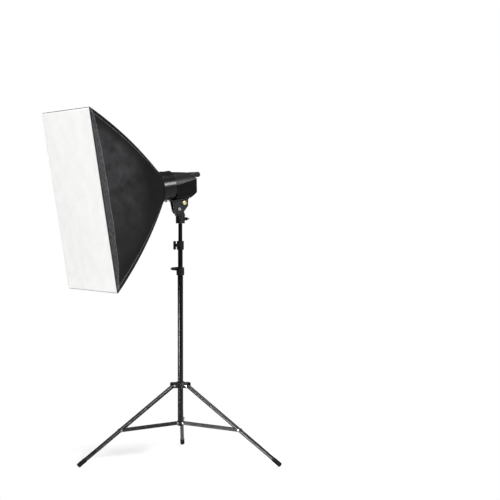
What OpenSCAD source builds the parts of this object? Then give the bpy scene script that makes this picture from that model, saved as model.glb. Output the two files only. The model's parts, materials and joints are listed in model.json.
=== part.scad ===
// Rectangular studio softbox on a flash head and a folding three-section light stand.
// Millimetres. The softbox faces -Y, +Z is up, and the origin lies on the floor under the column.

/* [Column] */
// Outside diameter of the lower tube
lower_od = 22; // [20:0.5:26]
// Wall of the column tubes
tube_wall = 1.2; // [1:0.1:1.4]
// Running gap between one tube and the next
slide_gap = 0.3; // [0.2:0.05:0.4]
// Height of the top of the lower tube
lower_top = 745; // [720:1:780]
// How far the middle tube stands out of the lower one
middle_out = 93; // [85:1:130]
// How far the upper tube stands out of the middle one
upper_out = 93; // [85:1:130]
// Length of the middle and upper tubes
inner_tube_l = 560; // [520:1:575]
// Wall of the tube clamps
clamp_wall = 4.5; // [4:0.25:6]
// Reach of a clamp knob from the column axis
knob_reach = 38; // [36:0.5:44]
// Width of the wing on a clamp knob
wing_w = 35; // [28:0.5:36]

/* [Legs] */
// Radius of the leg pivots from the column axis
leg_pivot_r = 33; // [33:0.5:37]
// Height of the leg pivots
leg_pivot_z = 292; // [280:1:310]
// Radius at which the axis of an opened leg ends
leg_reach = 447; // [420:1:480]
// Height at which the axis of an opened leg ends
leg_end_z = 6; // [4:0.5:7]
// Outside diameter of a leg tube
leg_od = 16; // [14:0.25:17]
// Direction of the leg under the softbox, in degrees
front_leg_angle = -85.5; // [-95:0.5:-75]
// Distance along a leg from its pivot to the brace
brace_at = 284; // [270:1:300]
// Radius of the brace pivots on the hub
hub_pivot_r = 18; // [17.5:0.25:20]
// Height of the brace pivots
hub_z = 144; // [135:1:155]
// Height of the hub
hub_h = 16; // [14:0.5:20]
// Thickness of a brace bar
bar_t = 2; // [1.5:0.25:2.5]
// Outside diameter of a rubber foot
foot_od = 18; // [17.5:0.5:20]

/* [Tilt bracket] */
// Height of the tilt pivot over the adapter socket
tilt_up = 26; // [25:0.5:34]
// Distance of the tilt pivot in front of the column axis
tilt_fwd = 10; // [6:0.5:12]
// How far the head looks down, in degrees
tilt_down = 9.2; // [0:0.1:20]
// Diameter of the stand stud
stud_d = 15.9; // [15:0.1:16]
// Outside diameter of the adapter socket
socket_od = 36; // [34:0.5:40]
// Half width of the adapter lug
lug_half = 9; // [8:0.25:10]
// Thickness of a bracket cheek
cheek_t = 3.6; // [3:0.1:4.5]

/* [Flash head] */
// Height of the head axis over the tilt pivot
head_up = 98; // [96:0.5:104]
// Half width of the housing
head_half = 50; // [48:0.5:54]
// Depth of the housing below the head axis
head_drop = 60; // [59:0.5:61]
// Wall of the housing shells
shell_wall = 2.5; // [2:0.1:3]
// Radius of the mount collar
collar_r = 60; // [59:0.25:61]
// Where the front of the mount collar lies
collar_front = 72; // [68:0.5:74]
// Diameter of the grip bar of the handle
grip_d = 21; // [18:0.5:23]
// Diameter of the power dial
dial_d = 24; // [20:0.5:26]

/* [Softbox] */
// Width of the front
front_w = 500; // [460:5:540]
// Height of the front
front_h = 700; // [650:5:740]
// Depth from the mount collar to the front
box_depth = 334; // [310:1:360]
// Diameter of a rod
rod_d = 5; // [4:0.25:5.5]
// How far the rods bow outwards
rod_bow = 14; // [8:0.5:18]
// How far the fabric sags inwards between the rods
fabric_sag = 16; // [0:0.5:24]
// Thickness of the front diffuser
diffuser_t = 2; // [1.5:0.25:3]

/* [Hidden] */
$fn = 64;

// Fits
pin_gap = 0.05;
seat_gap = 0.3;
cut = 1;

// Column
lower_r = lower_od / 2;
middle_r = lower_r - tube_wall - slide_gap;
upper_r = middle_r - tube_wall - slide_gap;
column_foot = hub_z - hub_h / 2;
middle_top = lower_top + middle_out;
upper_top = middle_top + upper_out;
lower_clamp_span = [17, 14];
upper_clamp_span = [10, 25];
clamp_boss_r = 7.5;
clamp_boss_up = 8;
clamp_boss_l = 4;
screw_r = 3;
lower_knob_angle = -117;
upper_knob_angle = -67;
wing_t = 6;
knob_hub_r = 6.5;

// Legs
leg_r = leg_od / 2;
leg_angles = [front_leg_angle, front_leg_angle + 120, front_leg_angle + 240];
leg_run = leg_reach - leg_pivot_r;
leg_fall = leg_pivot_z - leg_end_z;
leg_l = sqrt(leg_run * leg_run + leg_fall * leg_fall);
leg_slope = atan2(leg_fall, leg_run);
pin_r = 3;
leg_past_pivot = 6;
leg_plug_l = 20;
lug_gap = 0.5;
lug_t = 3.5;
lug_in = leg_r + lug_gap;
lug_out = lug_in + lug_t;
pin_head_r = 5;
pin_head_t = 2;
collar_wall = 4.7;
collar_below = 9;
collar_above = 11;
collar_plate = 3;
collar_lug_r = leg_pivot_r + 7;
collar_barrel_r = lower_r + slide_gap + collar_wall;
lug_start = sqrt(pow(collar_barrel_r, 2) - pow(lug_out, 2)) - 2;
collar_lip = 1;
collar_knob_angle = leg_angles[1] + 60;
collar_wing = 26;
foot_l = 38;
foot_r = foot_od / 2;
foot_floor = 6;
foot_edge = 2.5;

// Braces
joint_r = leg_pivot_r + brace_at * cos(leg_slope);
joint_z = leg_pivot_z - brace_at * sin(leg_slope);
brace_run = joint_r - hub_pivot_r;
brace_rise = joint_z - hub_z;
brace_l = sqrt(brace_run * brace_run + brace_rise * brace_rise);
brace_slope = atan2(brace_rise, brace_run);
bar_in = leg_r + 0.6;
bar_out = bar_in + bar_t;
bar_half = 6;
bar_end_r = 6.5;
hub_pin_r = 2.5;
hub_wall = 2.5;
hub_ear_half = bar_in - 0.6;
rivet_r = 4.5;
rivet_t = 1.8;

// Tilt bracket
stud_r = stud_d / 2;
stud_l = 26;
stud_plug_l = 30;
socket_r = socket_od / 2;
socket_gap = 1;
socket_z = upper_top + socket_gap;
socket_l = stud_l + 4;
tilt_z = socket_z + socket_l + tilt_up;
socket_knob_up = 18;
socket_knob_reach = 34;
lug_round = 20;
pivot_r = 4;
cheek_gap = 0.4;
cheek_in = lug_half + cheek_gap;
cheek_out = cheek_in + cheek_t;
cheek_round = 22;
bolt_head_r = 7;
bolt_head_t = 4;
brass_back = 24.7;
brass_up = 21.3;
brass_r = 3;
brass_head_r = 8.5;
bracket_top = head_up - head_drop;
bracket_plate_t = 4;
bracket_plate_half = 24;
bracket_front = 24;
bracket_back = 45;

// Flash head, measured along its axis from the tilt pivot
shell_front = 16;
shell_back = 77;
shell_top = 50;
roof_break = [-38, 40.5];
back_top = [-53, 32];
section_r = 62;
section_drop = 3;
cowl_step = 2;
cowl_front_v = -2.2;
cowl_back_v = 12.2;
chamfer_f = 25;
chamfer_v = 18;
rear_lean = 7.5;
rear_top_v = 11;
far = 200;
collar_step_r = 2;
collar_step_f = 48;
collar_bore_r = 52;
collar_flange_t = 3;
collar_hole_r = 8;
release_f = 45;
release_r = 4;
release_out = 5;
release_in = 8;
grip_f = -85;
grip_v = 26.5;
grip_half = head_half - shell_wall - 0.2;
grip_arm_t = 8;

board_half = 33;
board_back = -41;
board_front = 8;
board_up = 7;
board_t = 1.6;
capacitor_r = 16;
pan_neck_r = 14;
pan_rim_r = 49;
pan_rim_f = collar_front - 4;
pan_t = 1.8;
tube_ring_r = 30;
tube_r = 3.5;
tube_f = collar_front - 15;
tube_gap = 40;
tube_post_r = 2.5;

// Control panel: a plate parallel to the leaning back edge of the housing
panel_f = -65;
panel_v = -7;
panel_lean = -8;
panel_t = 3;
panel_fit = 0.2;
dial_at = [-24, -1];
dial_h = 10;
shaft_r = 3;
shaft_l = 9;
ready_at = [-3, 10];
test_at = [-3, -2];
sensor_at = [12, 10];
sync_at = [12, -2];
lamp_at = [31, 0];
power_at = [31, -25];
fuse_at = [-31, -24];
inlet_at = [2, -22];
rocker_w = 11;
rocker_l = 17;
rocker_t = 5;
rocker_gap = 0.9;
rocker_tip = 7;
button_r = 4;
button_out = 4;
control_gap = 0.1;
bezel_r = 6;
bezel_t = 1.6;
inlet_w = 27;
inlet_h = 19;
inlet_lip = 2.5;
inlet_out = 3;
inlet_deep = 16;
panel_screw_r = 1.6;
panel_screw_x = 42;
panel_screw_y = [12, -29];

// Softbox, measured along the head axis
ring_back = collar_front + 0.4;
ring_t = 8;
ring_r = collar_r + 2;
ring_bore_r = 50;
ring_spigot_r = collar_bore_r - seat_gap;
ring_spigot_l = 12;
front_f = collar_front + box_depth;
corner_angle = atan2(front_h, front_w);
corner_r = sqrt(front_h * front_h + front_w * front_w) / 2;
fabric_t = 1.5;
fabric_back = collar_front + 0.6;
fabric_in_r = ring_r + 0.7;
fabric_out_r = fabric_in_r + fabric_t;
fabric_front = front_f - seat_gap;
fabric_steps = 18;
sag_late = 5;
fabric_across = 10;
rod_r = rod_d / 2;
rod_root = [collar_front + 7, ring_r - 7];
rod_end_back = 5;
rod_inset = rod_r + 9.5;
rod_end = [front_f - rod_end_back, corner_r - rod_inset];
rod_socket_r = rod_r + 2.5;
rod_socket_l = 16;
rod_angles = [corner_angle, 180 - corner_angle, 180 + corner_angle, -corner_angle];
rod_fit = 0.15;
half_slope = atan2(corner_r - ring_r, box_depth);
baffle_share = 0.52;
baffle_w = 270;
baffle_h = 380;
baffle_t = 1.5;
strap_half = 8;
strap_l = 60;
hem_w = 2.4;
hem_gap = 0.2;

// A point part-way along a line from a to b, pushed sideways by a bow, in (along, radius)
function bowed(a, b, bow, u) =
    let (d = b - a, n = [-d[1], d[0]] / norm(d))
    a + d * u + n * bow * 4 * u * (1 - u);
// Share of the round shape that is left at u along the panel
function round_share(u) = pow(1 - u, 3);
// Share of the sag at u along the panel: fullest near the front and none at the front edge
function sag_share(u) = sin(180 * pow(u, sag_late));

// The place of the tilting head, and the frame of its axis: x across, y up, z forward
module head_frame() {
    translate([0, -tilt_fwd, tilt_z])
        rotate([tilt_down, 0, 0])
            children();
}

module axis_frame() {
    head_frame()
        translate([0, 0, head_up])
            rotate([90, 0, 0])
                children();
}

// An outline in (forward, up), extruded evenly to both sides
module sideways(half) {
    rotate([0, -90, 0])
        translate([0, 0, -half])
            linear_extrude(height = 2 * half)
                children();
}

module leg_frame(a) {
    rotate([0, 0, a])
        translate([leg_pivot_r, 0, leg_pivot_z])
            rotate([0, 90 + leg_slope, 0])
                children();
}

module brace_frame(a) {
    rotate([0, 0, a])
        translate([hub_pivot_r, 0, hub_z])
            rotate([0, -brace_slope, 0])
                children();
}

module panel_frame() {
    axis_frame()
        translate([0, panel_v, panel_f])
            rotate([180 + panel_lean, 0, 0])
                rotate([0, 0, 180])
                    children();
}

// A rod along Y through the given width, for pins and bores
module across(r, half) {
    rotate([90, 0, 0])
        cylinder(r = r, h = 2 * half, center = true);
}

module tube(outer, wall, z0, z1) {
    translate([0, 0, z0])
        difference() {
            cylinder(r = outer, h = z1 - z0);
            translate([0, 0, -cut])
                cylinder(r = outer - wall, h = z1 - z0 + 2 * cut);
        }
}

// A clamp that seats on the top of one tube and guides the next
module clamp(held_r, next_r, top, span, angle) {
    outer = held_r + clamp_wall;
    difference() {
        union() {
            translate([0, 0, top - span[0]])
                cylinder(r = outer, h = span[0] + span[1]);
            rotate([0, 0, angle])
                translate([0, 0, top + clamp_boss_up])
                    rotate([0, 90, 0])
                        cylinder(r = clamp_boss_r, h = outer + clamp_boss_l);
        }
        translate([0, 0, top - span[0] - cut])
            cylinder(r = held_r + pin_gap, h = span[0] + cut);
        translate([0, 0, top - cut])
            cylinder(r = next_r + slide_gap, h = span[1] + clamp_boss_up + clamp_boss_r);
        rotate([0, 0, angle])
            translate([0, 0, top + clamp_boss_up])
                rotate([0, 90, 0])
                    cylinder(r = screw_r + pin_gap, h = far);
    }
}

// A screw along +X with a hub and a wing of the given width, turned about the screw
module wing_knob(tip, hub_from, reach, wing, turn) {
    depth = 10;
    end_r = depth / 2;
    translate([tip, 0, 0])
        rotate([0, 90, 0])
            cylinder(r = screw_r, h = reach - tip - end_r);
    translate([hub_from, 0, 0])
        rotate([0, 90, 0])
            cylinder(r = knob_hub_r, h = reach - hub_from - end_r);
    rotate([turn, 0, 0])
        translate([0, 0, -wing_t / 2])
            linear_extrude(height = wing_t) {
                translate([reach - depth, end_r - wing / 2])
                    square([depth, wing - depth]);
                for (s = [-1, 1])
                    translate([reach - end_r, s * (wing / 2 - end_r)])
                        circle(r = end_r);
            }
}

module clamp_knob(held_r, next_r, top, angle, turn) {
    rotate([0, 0, angle])
        translate([0, 0, top + clamp_boss_up])
            wing_knob(next_r + slide_gap, held_r + clamp_wall + clamp_boss_l + seat_gap,
                knob_reach, wing_w, turn);
}

module column_lower() {
    color("#151517")
        tube(lower_r, tube_wall, column_foot, lower_top);
}

module column_plug() {
    plug_l = 14;
    cap_t = 3;
    color("#111111")
        translate([0, 0, column_foot - cap_t]) {
            cylinder(r = lower_r, h = cap_t);
            cylinder(r = lower_r - tube_wall - pin_gap, h = cap_t + plug_l);
        }
}

module brace_hub() {
    color("#1a1a1c")
        translate([0, 0, hub_z])
            difference() {
                union() {
                    cylinder(r = lower_r + hub_wall, h = hub_h, center = true);
                    for (a = leg_angles)
                        rotate([0, 0, a])
                            rotate([90, 0, 0])
                                linear_extrude(height = 2 * hub_ear_half, center = true) {
                                    translate([0, -bar_end_r])
                                        square([hub_pivot_r, 2 * bar_end_r]);
                                    translate([hub_pivot_r, 0])
                                        circle(r = bar_end_r);
                                }
                }
                cylinder(r = lower_r + pin_gap, h = hub_h + 2 * cut, center = true);
                for (a = leg_angles)
                    rotate([0, 0, a])
                        translate([hub_pivot_r, 0, 0])
                            across(hub_pin_r + pin_gap, hub_ear_half + cut);
            }
}

// Three headed pins, each with a head beyond the brace bars
module hub_pins() {
    color("#c9c9c6")
        for (a = leg_angles)
            rotate([0, 0, a])
                translate([hub_pivot_r, 0, hub_z]) {
                    across(hub_pin_r, bar_out + seat_gap);
                    for (s = [-1, 1])
                        translate([0, s * (bar_out + seat_gap + rivet_t / 2), 0])
                            across(rivet_r, rivet_t / 2);
                }
}

module lower_clamp() {
    color("#1a1a1c")
        clamp(lower_r, middle_r, lower_top, lower_clamp_span, lower_knob_angle);
}

module lower_clamp_knob() {
    color("#101012")
        clamp_knob(lower_r, middle_r, lower_top, lower_knob_angle, 0);
}

module leg_collar() {
    height = collar_below + collar_above;
    boss_l = collar_barrel_r + clamp_boss_l;
    color("#1a1a1c")
        translate([0, 0, leg_pivot_z])
            difference() {
                union() {
                    translate([0, 0, -collar_below - collar_lip])
                        cylinder(r = collar_barrel_r, h = height + collar_plate + 2 * collar_lip);
                    for (a = leg_angles)
                        rotate([0, 0, a]) {
                            for (s = [-1, 1])
                                translate([lug_start, s * (lug_in + lug_t / 2) - lug_t / 2, -collar_below])
                                    cube([collar_lug_r - lug_start, lug_t, height + cut]);
                            translate([lug_start, -lug_out, collar_above])
                                cube([leg_pivot_r - lug_start, 2 * lug_out, collar_plate]);
                            translate([leg_pivot_r - lug_t, 0, collar_above])
                                cylinder(r = lug_out + collar_lip, h = collar_plate);
                        }
                    rotate([0, 0, collar_knob_angle])
                        rotate([0, 90, 0])
                            cylinder(r = clamp_boss_r, h = boss_l);
                }
                cylinder(r = lower_r + slide_gap, h = far, center = true);
                rotate([0, 0, collar_knob_angle])
                    rotate([0, 90, 0])
                        cylinder(r = screw_r + pin_gap, h = far);
                for (a = leg_angles)
                    rotate([0, 0, a])
                        translate([leg_pivot_r, 0, 0])
                            across(pin_r + pin_gap, lug_out + cut);
            }
}

module leg_pins() {
    color("#c9c9c6")
        for (a = leg_angles)
            rotate([0, 0, a])
                translate([leg_pivot_r, 0, leg_pivot_z]) {
                    across(pin_r, lug_out);
                    for (s = [-1, 1])
                        translate([0, s * (lug_out + pin_head_t / 2), 0])
                            across(pin_head_r, pin_head_t / 2);
                }
}

module collar_knob() {
    color("#101012")
        rotate([0, 0, collar_knob_angle])
            translate([0, 0, leg_pivot_z])
                wing_knob(lower_r + slide_gap, collar_barrel_r + clamp_boss_l + seat_gap,
                    knob_reach, collar_wing, 90);
}

module leg(a) {
    color("#151517")
        leg_frame(a)
            difference() {
                translate([0, 0, -leg_past_pivot])
                    cylinder(r = leg_r, h = leg_l - foot_floor + leg_past_pivot);
                translate([0, 0, leg_plug_l])
                    cylinder(r = leg_r - tube_wall, h = leg_l);
                across(pin_r + pin_gap, leg_r + cut);
            }
}

// A rubber cap on the leg, worn flat where it stands on the floor
module foot(a) {
    color("#0c0c0c")
        difference() {
            leg_frame(a)
                translate([0, 0, leg_l - foot_l])
                    difference() {
                        union() {
                            cylinder(r = foot_r, h = foot_l - foot_edge);
                            translate([0, 0, foot_l - foot_edge])
                                cylinder(r1 = foot_r, r2 = foot_r - foot_edge / 2, h = foot_edge);
                        }
                        translate([0, 0, -cut])
                            cylinder(r = leg_r + pin_gap, h = foot_l - foot_floor + cut);
                    }
            translate([0, 0, -far])
                cylinder(r = leg_reach + far, h = far);
        }
}

// Two flat bars that straddle the leg, with the rivet heads of the joint on their outsides
module brace(a) {
    color("#1c1c1e")
        brace_frame(a)
            for (s = [-1, 1]) {
                translate([0, s * (bar_in + bar_t / 2), 0])
                    rotate([90, 0, 0])
                        linear_extrude(height = bar_t, center = true)
                            difference() {
                                union() {
                                    circle(r = bar_end_r);
                                    translate([brace_l, 0])
                                        circle(r = bar_end_r);
                                    translate([0, -bar_half])
                                        square([brace_l, 2 * bar_half]);
                                }
                                circle(r = hub_pin_r + pin_gap);
                            }
                translate([brace_l, s * (bar_out + rivet_t / 2), 0])
                    across(rivet_r, rivet_t / 2);
            }
}

module column_middle() {
    color("#151517")
        tube(middle_r, tube_wall, middle_top - inner_tube_l, middle_top);
}

module upper_clamp() {
    color("#1a1a1c")
        clamp(middle_r, upper_r, middle_top, upper_clamp_span, upper_knob_angle);
}

module upper_clamp_knob() {
    color("#101012")
        clamp_knob(middle_r, upper_r, middle_top, upper_knob_angle, 90);
}

module column_upper() {
    color("#151517")
        tube(upper_r, tube_wall, upper_top - inner_tube_l, upper_top);
}

// The stud that a light sits on, with a plug inside the tube and a groove for the screw
module spigot() {
    groove_z = 13;
    groove_h = 8;
    groove_deep = 1;
    color("#b9bab8")
        translate([0, 0, upper_top]) {
            translate([0, 0, -stud_plug_l])
                cylinder(r = upper_r - tube_wall - pin_gap, h = stud_plug_l);
            difference() {
                cylinder(r = stud_r, h = stud_l);
                translate([0, 0, groove_z])
                    difference() {
                        cylinder(r = stud_r + cut, h = groove_h);
                        cylinder(r = stud_r - groove_deep, h = groove_h);
                    }
            }
        }
}

// An outline in (forward, up) about the tilt pivot, extruded across the column
module tilt_outline(half) {
    translate([0, -tilt_fwd, tilt_z])
        rotate([90, 0, 0])
            sideways(half)
                children();
}

// The socket that drops over the stud, with the lug that the head tilts on
module stand_adapter() {
    lug_foot = socket_z + socket_l - tilt_z - cut;
    color("#202022")
        difference() {
            union() {
                translate([0, 0, socket_z])
                    cylinder(r = socket_r, h = socket_l);
                tilt_outline(lug_half) {
                    circle(r = lug_round);
                    polygon([
                        [lug_round, 0], [socket_r - tilt_fwd, lug_foot],
                        [-socket_r - tilt_fwd, lug_foot], [-lug_round, 0]
                    ]);
                }
            }
            translate([0, 0, socket_z - cut])
                cylinder(r = stud_r + slide_gap / 3, h = stud_l + cut);
            translate([0, -tilt_fwd, tilt_z])
                rotate([0, 90, 0])
                    cylinder(r = pivot_r + pin_gap, h = 2 * lug_half + 2 * cut, center = true);
            translate([0, 0, socket_z + socket_knob_up])
                rotate([-90, 0, 0])
                    cylinder(r = screw_r + pin_gap, h = far);
        }
}

module adapter_knob() {
    color("#101012")
        translate([0, 0, socket_z + socket_knob_up])
            rotate([0, 0, 90])
                wing_knob(stud_r + slide_gap, socket_r + seat_gap, socket_knob_reach, collar_wing, 0);
}

// Two cheeks under a plate that the housing is screwed down on
module head_bracket() {
    color("#2c2c2e")
        head_frame() {
            for (s = [-1, 1])
                translate([s * (cheek_in + cheek_t / 2), 0, 0])
                    rotate([90, 0, 0])
                        sideways(cheek_t / 2)
                            difference() {
                                union() {
                                    circle(r = cheek_round);
                                    polygon([
                                        [bracket_front, bracket_top], [cheek_round, 0], [-15, -16], [-40, 7],
                                        [-bracket_back, bracket_top - bracket_plate_t],
                                        [-bracket_back, bracket_top]
                                    ]);
                                }
                                circle(r = pivot_r + pin_gap);
                                translate([-brass_back, brass_up])
                                    circle(r = brass_r + pin_gap);
                            }
            translate([-bracket_plate_half, -bracket_front, bracket_top - bracket_plate_t])
                cube([2 * bracket_plate_half, bracket_front + bracket_back, bracket_plate_t]);
        }
}

module pivot_bolt() {
    hex = 6;
    color("#c9c9c6")
        head_frame()
            rotate([0, 90, 0]) {
                cylinder(r = pivot_r, h = 2 * cheek_out, center = true);
                for (s = [-1, 1])
                    translate([0, 0, s * (cheek_out + bolt_head_t / 2)])
                        cylinder(r = bolt_head_r, h = bolt_head_t, center = true, $fn = hex);
            }
}

module brass_place() {
    head_frame()
        translate([0, brass_back, brass_up])
            rotate([0, 90, 0])
                children();
}

module lock_bolt() {
    tail = 6;
    color("#b79a55")
        brass_place() {
            translate([0, 0, -cheek_out - tail])
                cylinder(r = brass_r, h = 2 * cheek_out + tail);
            translate([0, 0, cheek_out])
                cylinder(r = brass_head_r, h = bolt_head_t);
        }
}

module lock_nut() {
    hex = 6;
    color("#b79a55")
        brass_place()
            translate([0, 0, -cheek_out - bolt_head_t])
                difference() {
                    cylinder(r = brass_head_r, h = bolt_head_t, $fn = hex);
                    translate([0, 0, -cut])
                        cylinder(r = brass_r + pin_gap, h = bolt_head_t + 2 * cut);
                }
}

module mount_collar() {
    step_r = collar_r - collar_step_r;
    flange_f = shell_front + collar_flange_t;
    color("#161618")
        axis_frame()
            difference() {
                rotate_extrude()
                    polygon([
                        [collar_hole_r, shell_front], [step_r, shell_front], [step_r, collar_step_f],
                        [collar_r, collar_step_f], [collar_r, collar_front], [collar_bore_r, collar_front],
                        [collar_bore_r, flange_f], [collar_hole_r, flange_f]
                    ]);
                translate([0, 0, release_f])
                    rotate([90, 0, 0])
                        cylinder(r = release_r + control_gap, h = far);
            }
}

module mount_release() {
    inner = collar_bore_r - release_in;
    color("#8d8d8b")
        axis_frame()
            translate([0, 0, release_f])
                rotate([90, 0, 0])
                    translate([0, 0, inner])
                        cylinder(r = release_r, h = collar_r - collar_step_r + release_out - inner);
}

// Cross-section of the housing across its axis, grown or shrunk
module section(grow) {
    intersection() {
        translate([0, -section_drop])
            circle(r = section_r + grow);
        translate([-head_half - grow, -head_drop - grow])
            square([2 * (head_half + grow), head_drop + shell_top + 2 * grow]);
    }
}

module section_bar(grow) {
    translate([0, 0, -far])
        linear_extrude(height = 2 * far)
            section(grow);
}

// Height of the slanting joint between the shells, at f along the axis
function joint_v(f) =
    cowl_front_v + (shell_front - f) * (cowl_back_v - cowl_front_v) / (shell_front + shell_back);

// Place along the axis of the cowl's sloping back, at height v
function back_f(v) =
    back_top[0] - (back_top[1] - v) * (back_top[0] + shell_back) / (back_top[1] - rear_top_v);

// Side view of the housing, with its roof raised by rise
module side_outline(rise) {
    polygon([
        [shell_front, -head_drop], [chamfer_f - shell_back, -head_drop],
        [rear_lean - shell_back, chamfer_v - head_drop], [-shell_back, rear_top_v],
        back_top, [roof_break[0], roof_break[1] + rise], [shell_front, shell_top + rise]
    ]);
}

// Side view of the hollow, open at the front and the rear
module hollow_outline(wall) {
    chamfer = [chamfer_v, chamfer_f - rear_lean];
    n = chamfer / norm(chamfer);
    floor_f = chamfer_f - shell_back + wall * (1 - n[1]) / n[0];
    rear_v = -head_drop + (wall + n[0] * (chamfer_f + cut)) / n[1];
    under = wall / cos(atan2(back_top[1] - rear_top_v, back_top[0] + shell_back));
    slope = (back_top[1] - rear_top_v) / (back_top[0] + shell_back);
    polygon([
        [shell_front + cut, wall - head_drop], [floor_f, wall - head_drop], [-shell_back - cut, rear_v],
        [-shell_back - cut, rear_top_v - under - slope * cut], [back_top[0], back_top[1] - under],
        [roof_break[0], roof_break[1] - under], [shell_front + cut, shell_top - wall]
    ]);
}

module hollow(wall) {
    intersection() {
        section_bar(-wall);
        sideways(far)
            hollow_outline(wall);
    }
}

module housing_lower() {
    post_r = 3;
    color("#131315")
        axis_frame() {
            difference() {
                intersection() {
                    section_bar(0);
                    sideways(far)
                        side_outline(0);
                    sideways(far)
                        polygon([[far, -far], [far, joint_v(far)], [-far, joint_v(-far)], [-far, -far]]);
                }
                hollow(shell_wall);
            }
            for (x = [-1, 1], f = [board_back + 2 * post_r, board_front - 2 * post_r])
                translate([x * (board_half - 2 * post_r), shell_wall - head_drop, f])
                    rotate([-90, 0, 0])
                        cylinder(r = post_r, h = board_up);
        }
}

// The cowl carries the round of the collar back over the lower shell and overhangs its sides
module housing_upper() {
    color("#1d1d20")
        axis_frame()
            difference() {
                intersection() {
                    translate([0, 0, -far])
                        cylinder(r = collar_r - collar_step_r, h = 2 * far);
                    sideways(far)
                        side_outline(cowl_step);
                    sideways(far)
                        polygon([[far, far], [-far, far], [-far, joint_v(-far)], [far, joint_v(far)]]);
                }
                hollow(shell_wall);
            }
}

// A round grip bar on two arms that stand on the sloping back of the cowl
module carry_handle() {
    arm_half = grip_d / 2 - 1.5;
    arm_top = back_top[1] - 1;
    arm_low = arm_top - 12;
    color("#18181a")
        axis_frame() {
            translate([0, grip_v, grip_f])
                rotate([0, 90, 0])
                    cylinder(r = grip_d / 2, h = 2 * grip_half, center = true);
            for (s = [-1, 1])
                translate([s * (grip_half - grip_arm_t / 2), 0, 0])
                    sideways(grip_arm_t / 2)
                        polygon([
                            [grip_f, grip_v + arm_half], [back_f(arm_top), arm_top],
                            [back_f(arm_low), arm_low], [grip_f, grip_v - arm_half]
                        ]);
        }
}

// The rear plate between the shells, pierced for its controls
module control_panel() {
    color("#232326")
        difference() {
            intersection() {
                axis_frame()
                    hollow(shell_wall + panel_fit);
                panel_frame()
                    translate([-far, -far, -panel_t])
                        cube([2 * far, 2 * far, panel_t]);
            }
            panel_frame()
                translate([0, 0, -panel_t - cut]) {
                    panel_hole(dial_at, shaft_r);
                    panel_hole(test_at, button_r);
                    panel_hole(ready_at, button_r);
                    panel_hole(sensor_at, button_r);
                    panel_hole(sync_at, button_r);
                    panel_hole(fuse_at, button_r);
                    for (x = [-1, 1], y = panel_screw_y)
                        panel_hole([x * panel_screw_x, y], panel_screw_r);
                    for (at = [lamp_at, power_at])
                        panel_window(at, rocker_w + 2 * rocker_gap, rocker_l + 2 * rocker_gap);
                    panel_window(inlet_at, inlet_w + 2 * control_gap, inlet_h + 2 * control_gap);
                }
        }
}

module panel_hole(at, r) {
    translate([at[0], at[1], 0])
        cylinder(r = r + control_gap, h = panel_t + 2 * cut);
}

module panel_window(at, w, h) {
    translate([at[0] - w / 2, at[1] - h / 2, 0])
        cube([w, h, panel_t + 2 * cut]);
}

// Something round that stands on the panel, with a stem behind it
module panel_fitting(at, head_r, head_t, stem_r) {
    panel_frame()
        translate([at[0], at[1], 0]) {
            cylinder(r = head_r, h = head_t);
            translate([0, 0, -shaft_l])
                cylinder(r = stem_r, h = shaft_l);
        }
}

module panel_screws() {
    head_r = 3;
    head_t = 1.6;
    color("#2a2a2c")
        for (x = [-1, 1], y = panel_screw_y)
            panel_fitting([x * panel_screw_x, y], head_r, head_t, panel_screw_r);
}

// The dial runs just clear of the panel on its shaft, with a groove as a pointer
module power_dial() {
    groove = 1.6;
    color("#101012")
        panel_frame()
            translate([dial_at[0], dial_at[1], seat_gap])
                difference() {
                    union() {
                        cylinder(r = dial_d / 2, h = dial_h);
                        translate([0, 0, -shaft_l])
                            cylinder(r = shaft_r, h = shaft_l);
                    }
                    translate([-groove / 2, dial_d / 4, dial_h - groove])
                        cube([groove, dial_d, dial_h]);
                }
}

module rocker(at) {
    panel_frame()
        translate([at[0], at[1], 0])
            rotate([rocker_tip, 0, 0])
                cube([rocker_w, rocker_l, rocker_t], center = true);
}

module power_switch() {
    color("#9c1f1c")
        rocker(power_at);
}

module lamp_switch() {
    color("#0f0f10")
        rocker(lamp_at);
}

module test_button() {
    color("#b3261e")
        panel_frame()
            translate([test_at[0], test_at[1], -shaft_l])
                cylinder(r = button_r, h = shaft_l + button_out);
}

module ready_lamp() {
    color("#4fae57")
        panel_fitting(ready_at, button_r + 1, bezel_t, button_r);
}

// A round eye behind a clear dome
module slave_sensor() {
    color("#6b1414")
        panel_frame()
            translate([sensor_at[0], sensor_at[1], 0]) {
                translate([0, 0, -shaft_l])
                    cylinder(r = button_r, h = shaft_l);
                intersection() {
                    sphere(r = bezel_r - 1);
                    cylinder(r = bezel_r, h = bezel_r);
                }
            }
}

module sync_socket() {
    jack_r = 1.75;
    color("#8f9092")
        difference() {
            panel_fitting(sync_at, bezel_r, bezel_t, button_r);
            panel_frame()
                translate([sync_at[0], sync_at[1], -shaft_l + cut])
                    cylinder(r = jack_r, h = far);
        }
}

module fuse_holder() {
    cap_t = 6;
    color("#151516")
        panel_fitting(fuse_at, bezel_r, cap_t, button_r);
}

// An inlet for a mains lead: a lipped well with three blades on its floor
module power_inlet() {
    wall = 2;
    blade = [4, 1.6, 9];
    blade_x = 7;
    color("#0e0e0f")
        panel_frame()
            translate([inlet_at[0], inlet_at[1], 0]) {
                difference() {
                    union() {
                        translate([-inlet_w / 2 - inlet_lip, -inlet_h / 2 - inlet_lip, 0])
                            cube([inlet_w + 2 * inlet_lip, inlet_h + 2 * inlet_lip, inlet_out]);
                        translate([-inlet_w / 2, -inlet_h / 2, -inlet_deep])
                            cube([inlet_w, inlet_h, inlet_deep + cut]);
                    }
                    translate([wall - inlet_w / 2, wall - inlet_h / 2, wall - inlet_deep])
                        cube([inlet_w - 2 * wall, inlet_h - 2 * wall, far]);
                }
                for (x = [-1, 0, 1])
                    translate([x * blade_x - blade[0] / 2, -blade[1] / 2, wall - inlet_deep])
                        cube(blade);
            }
}

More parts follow.
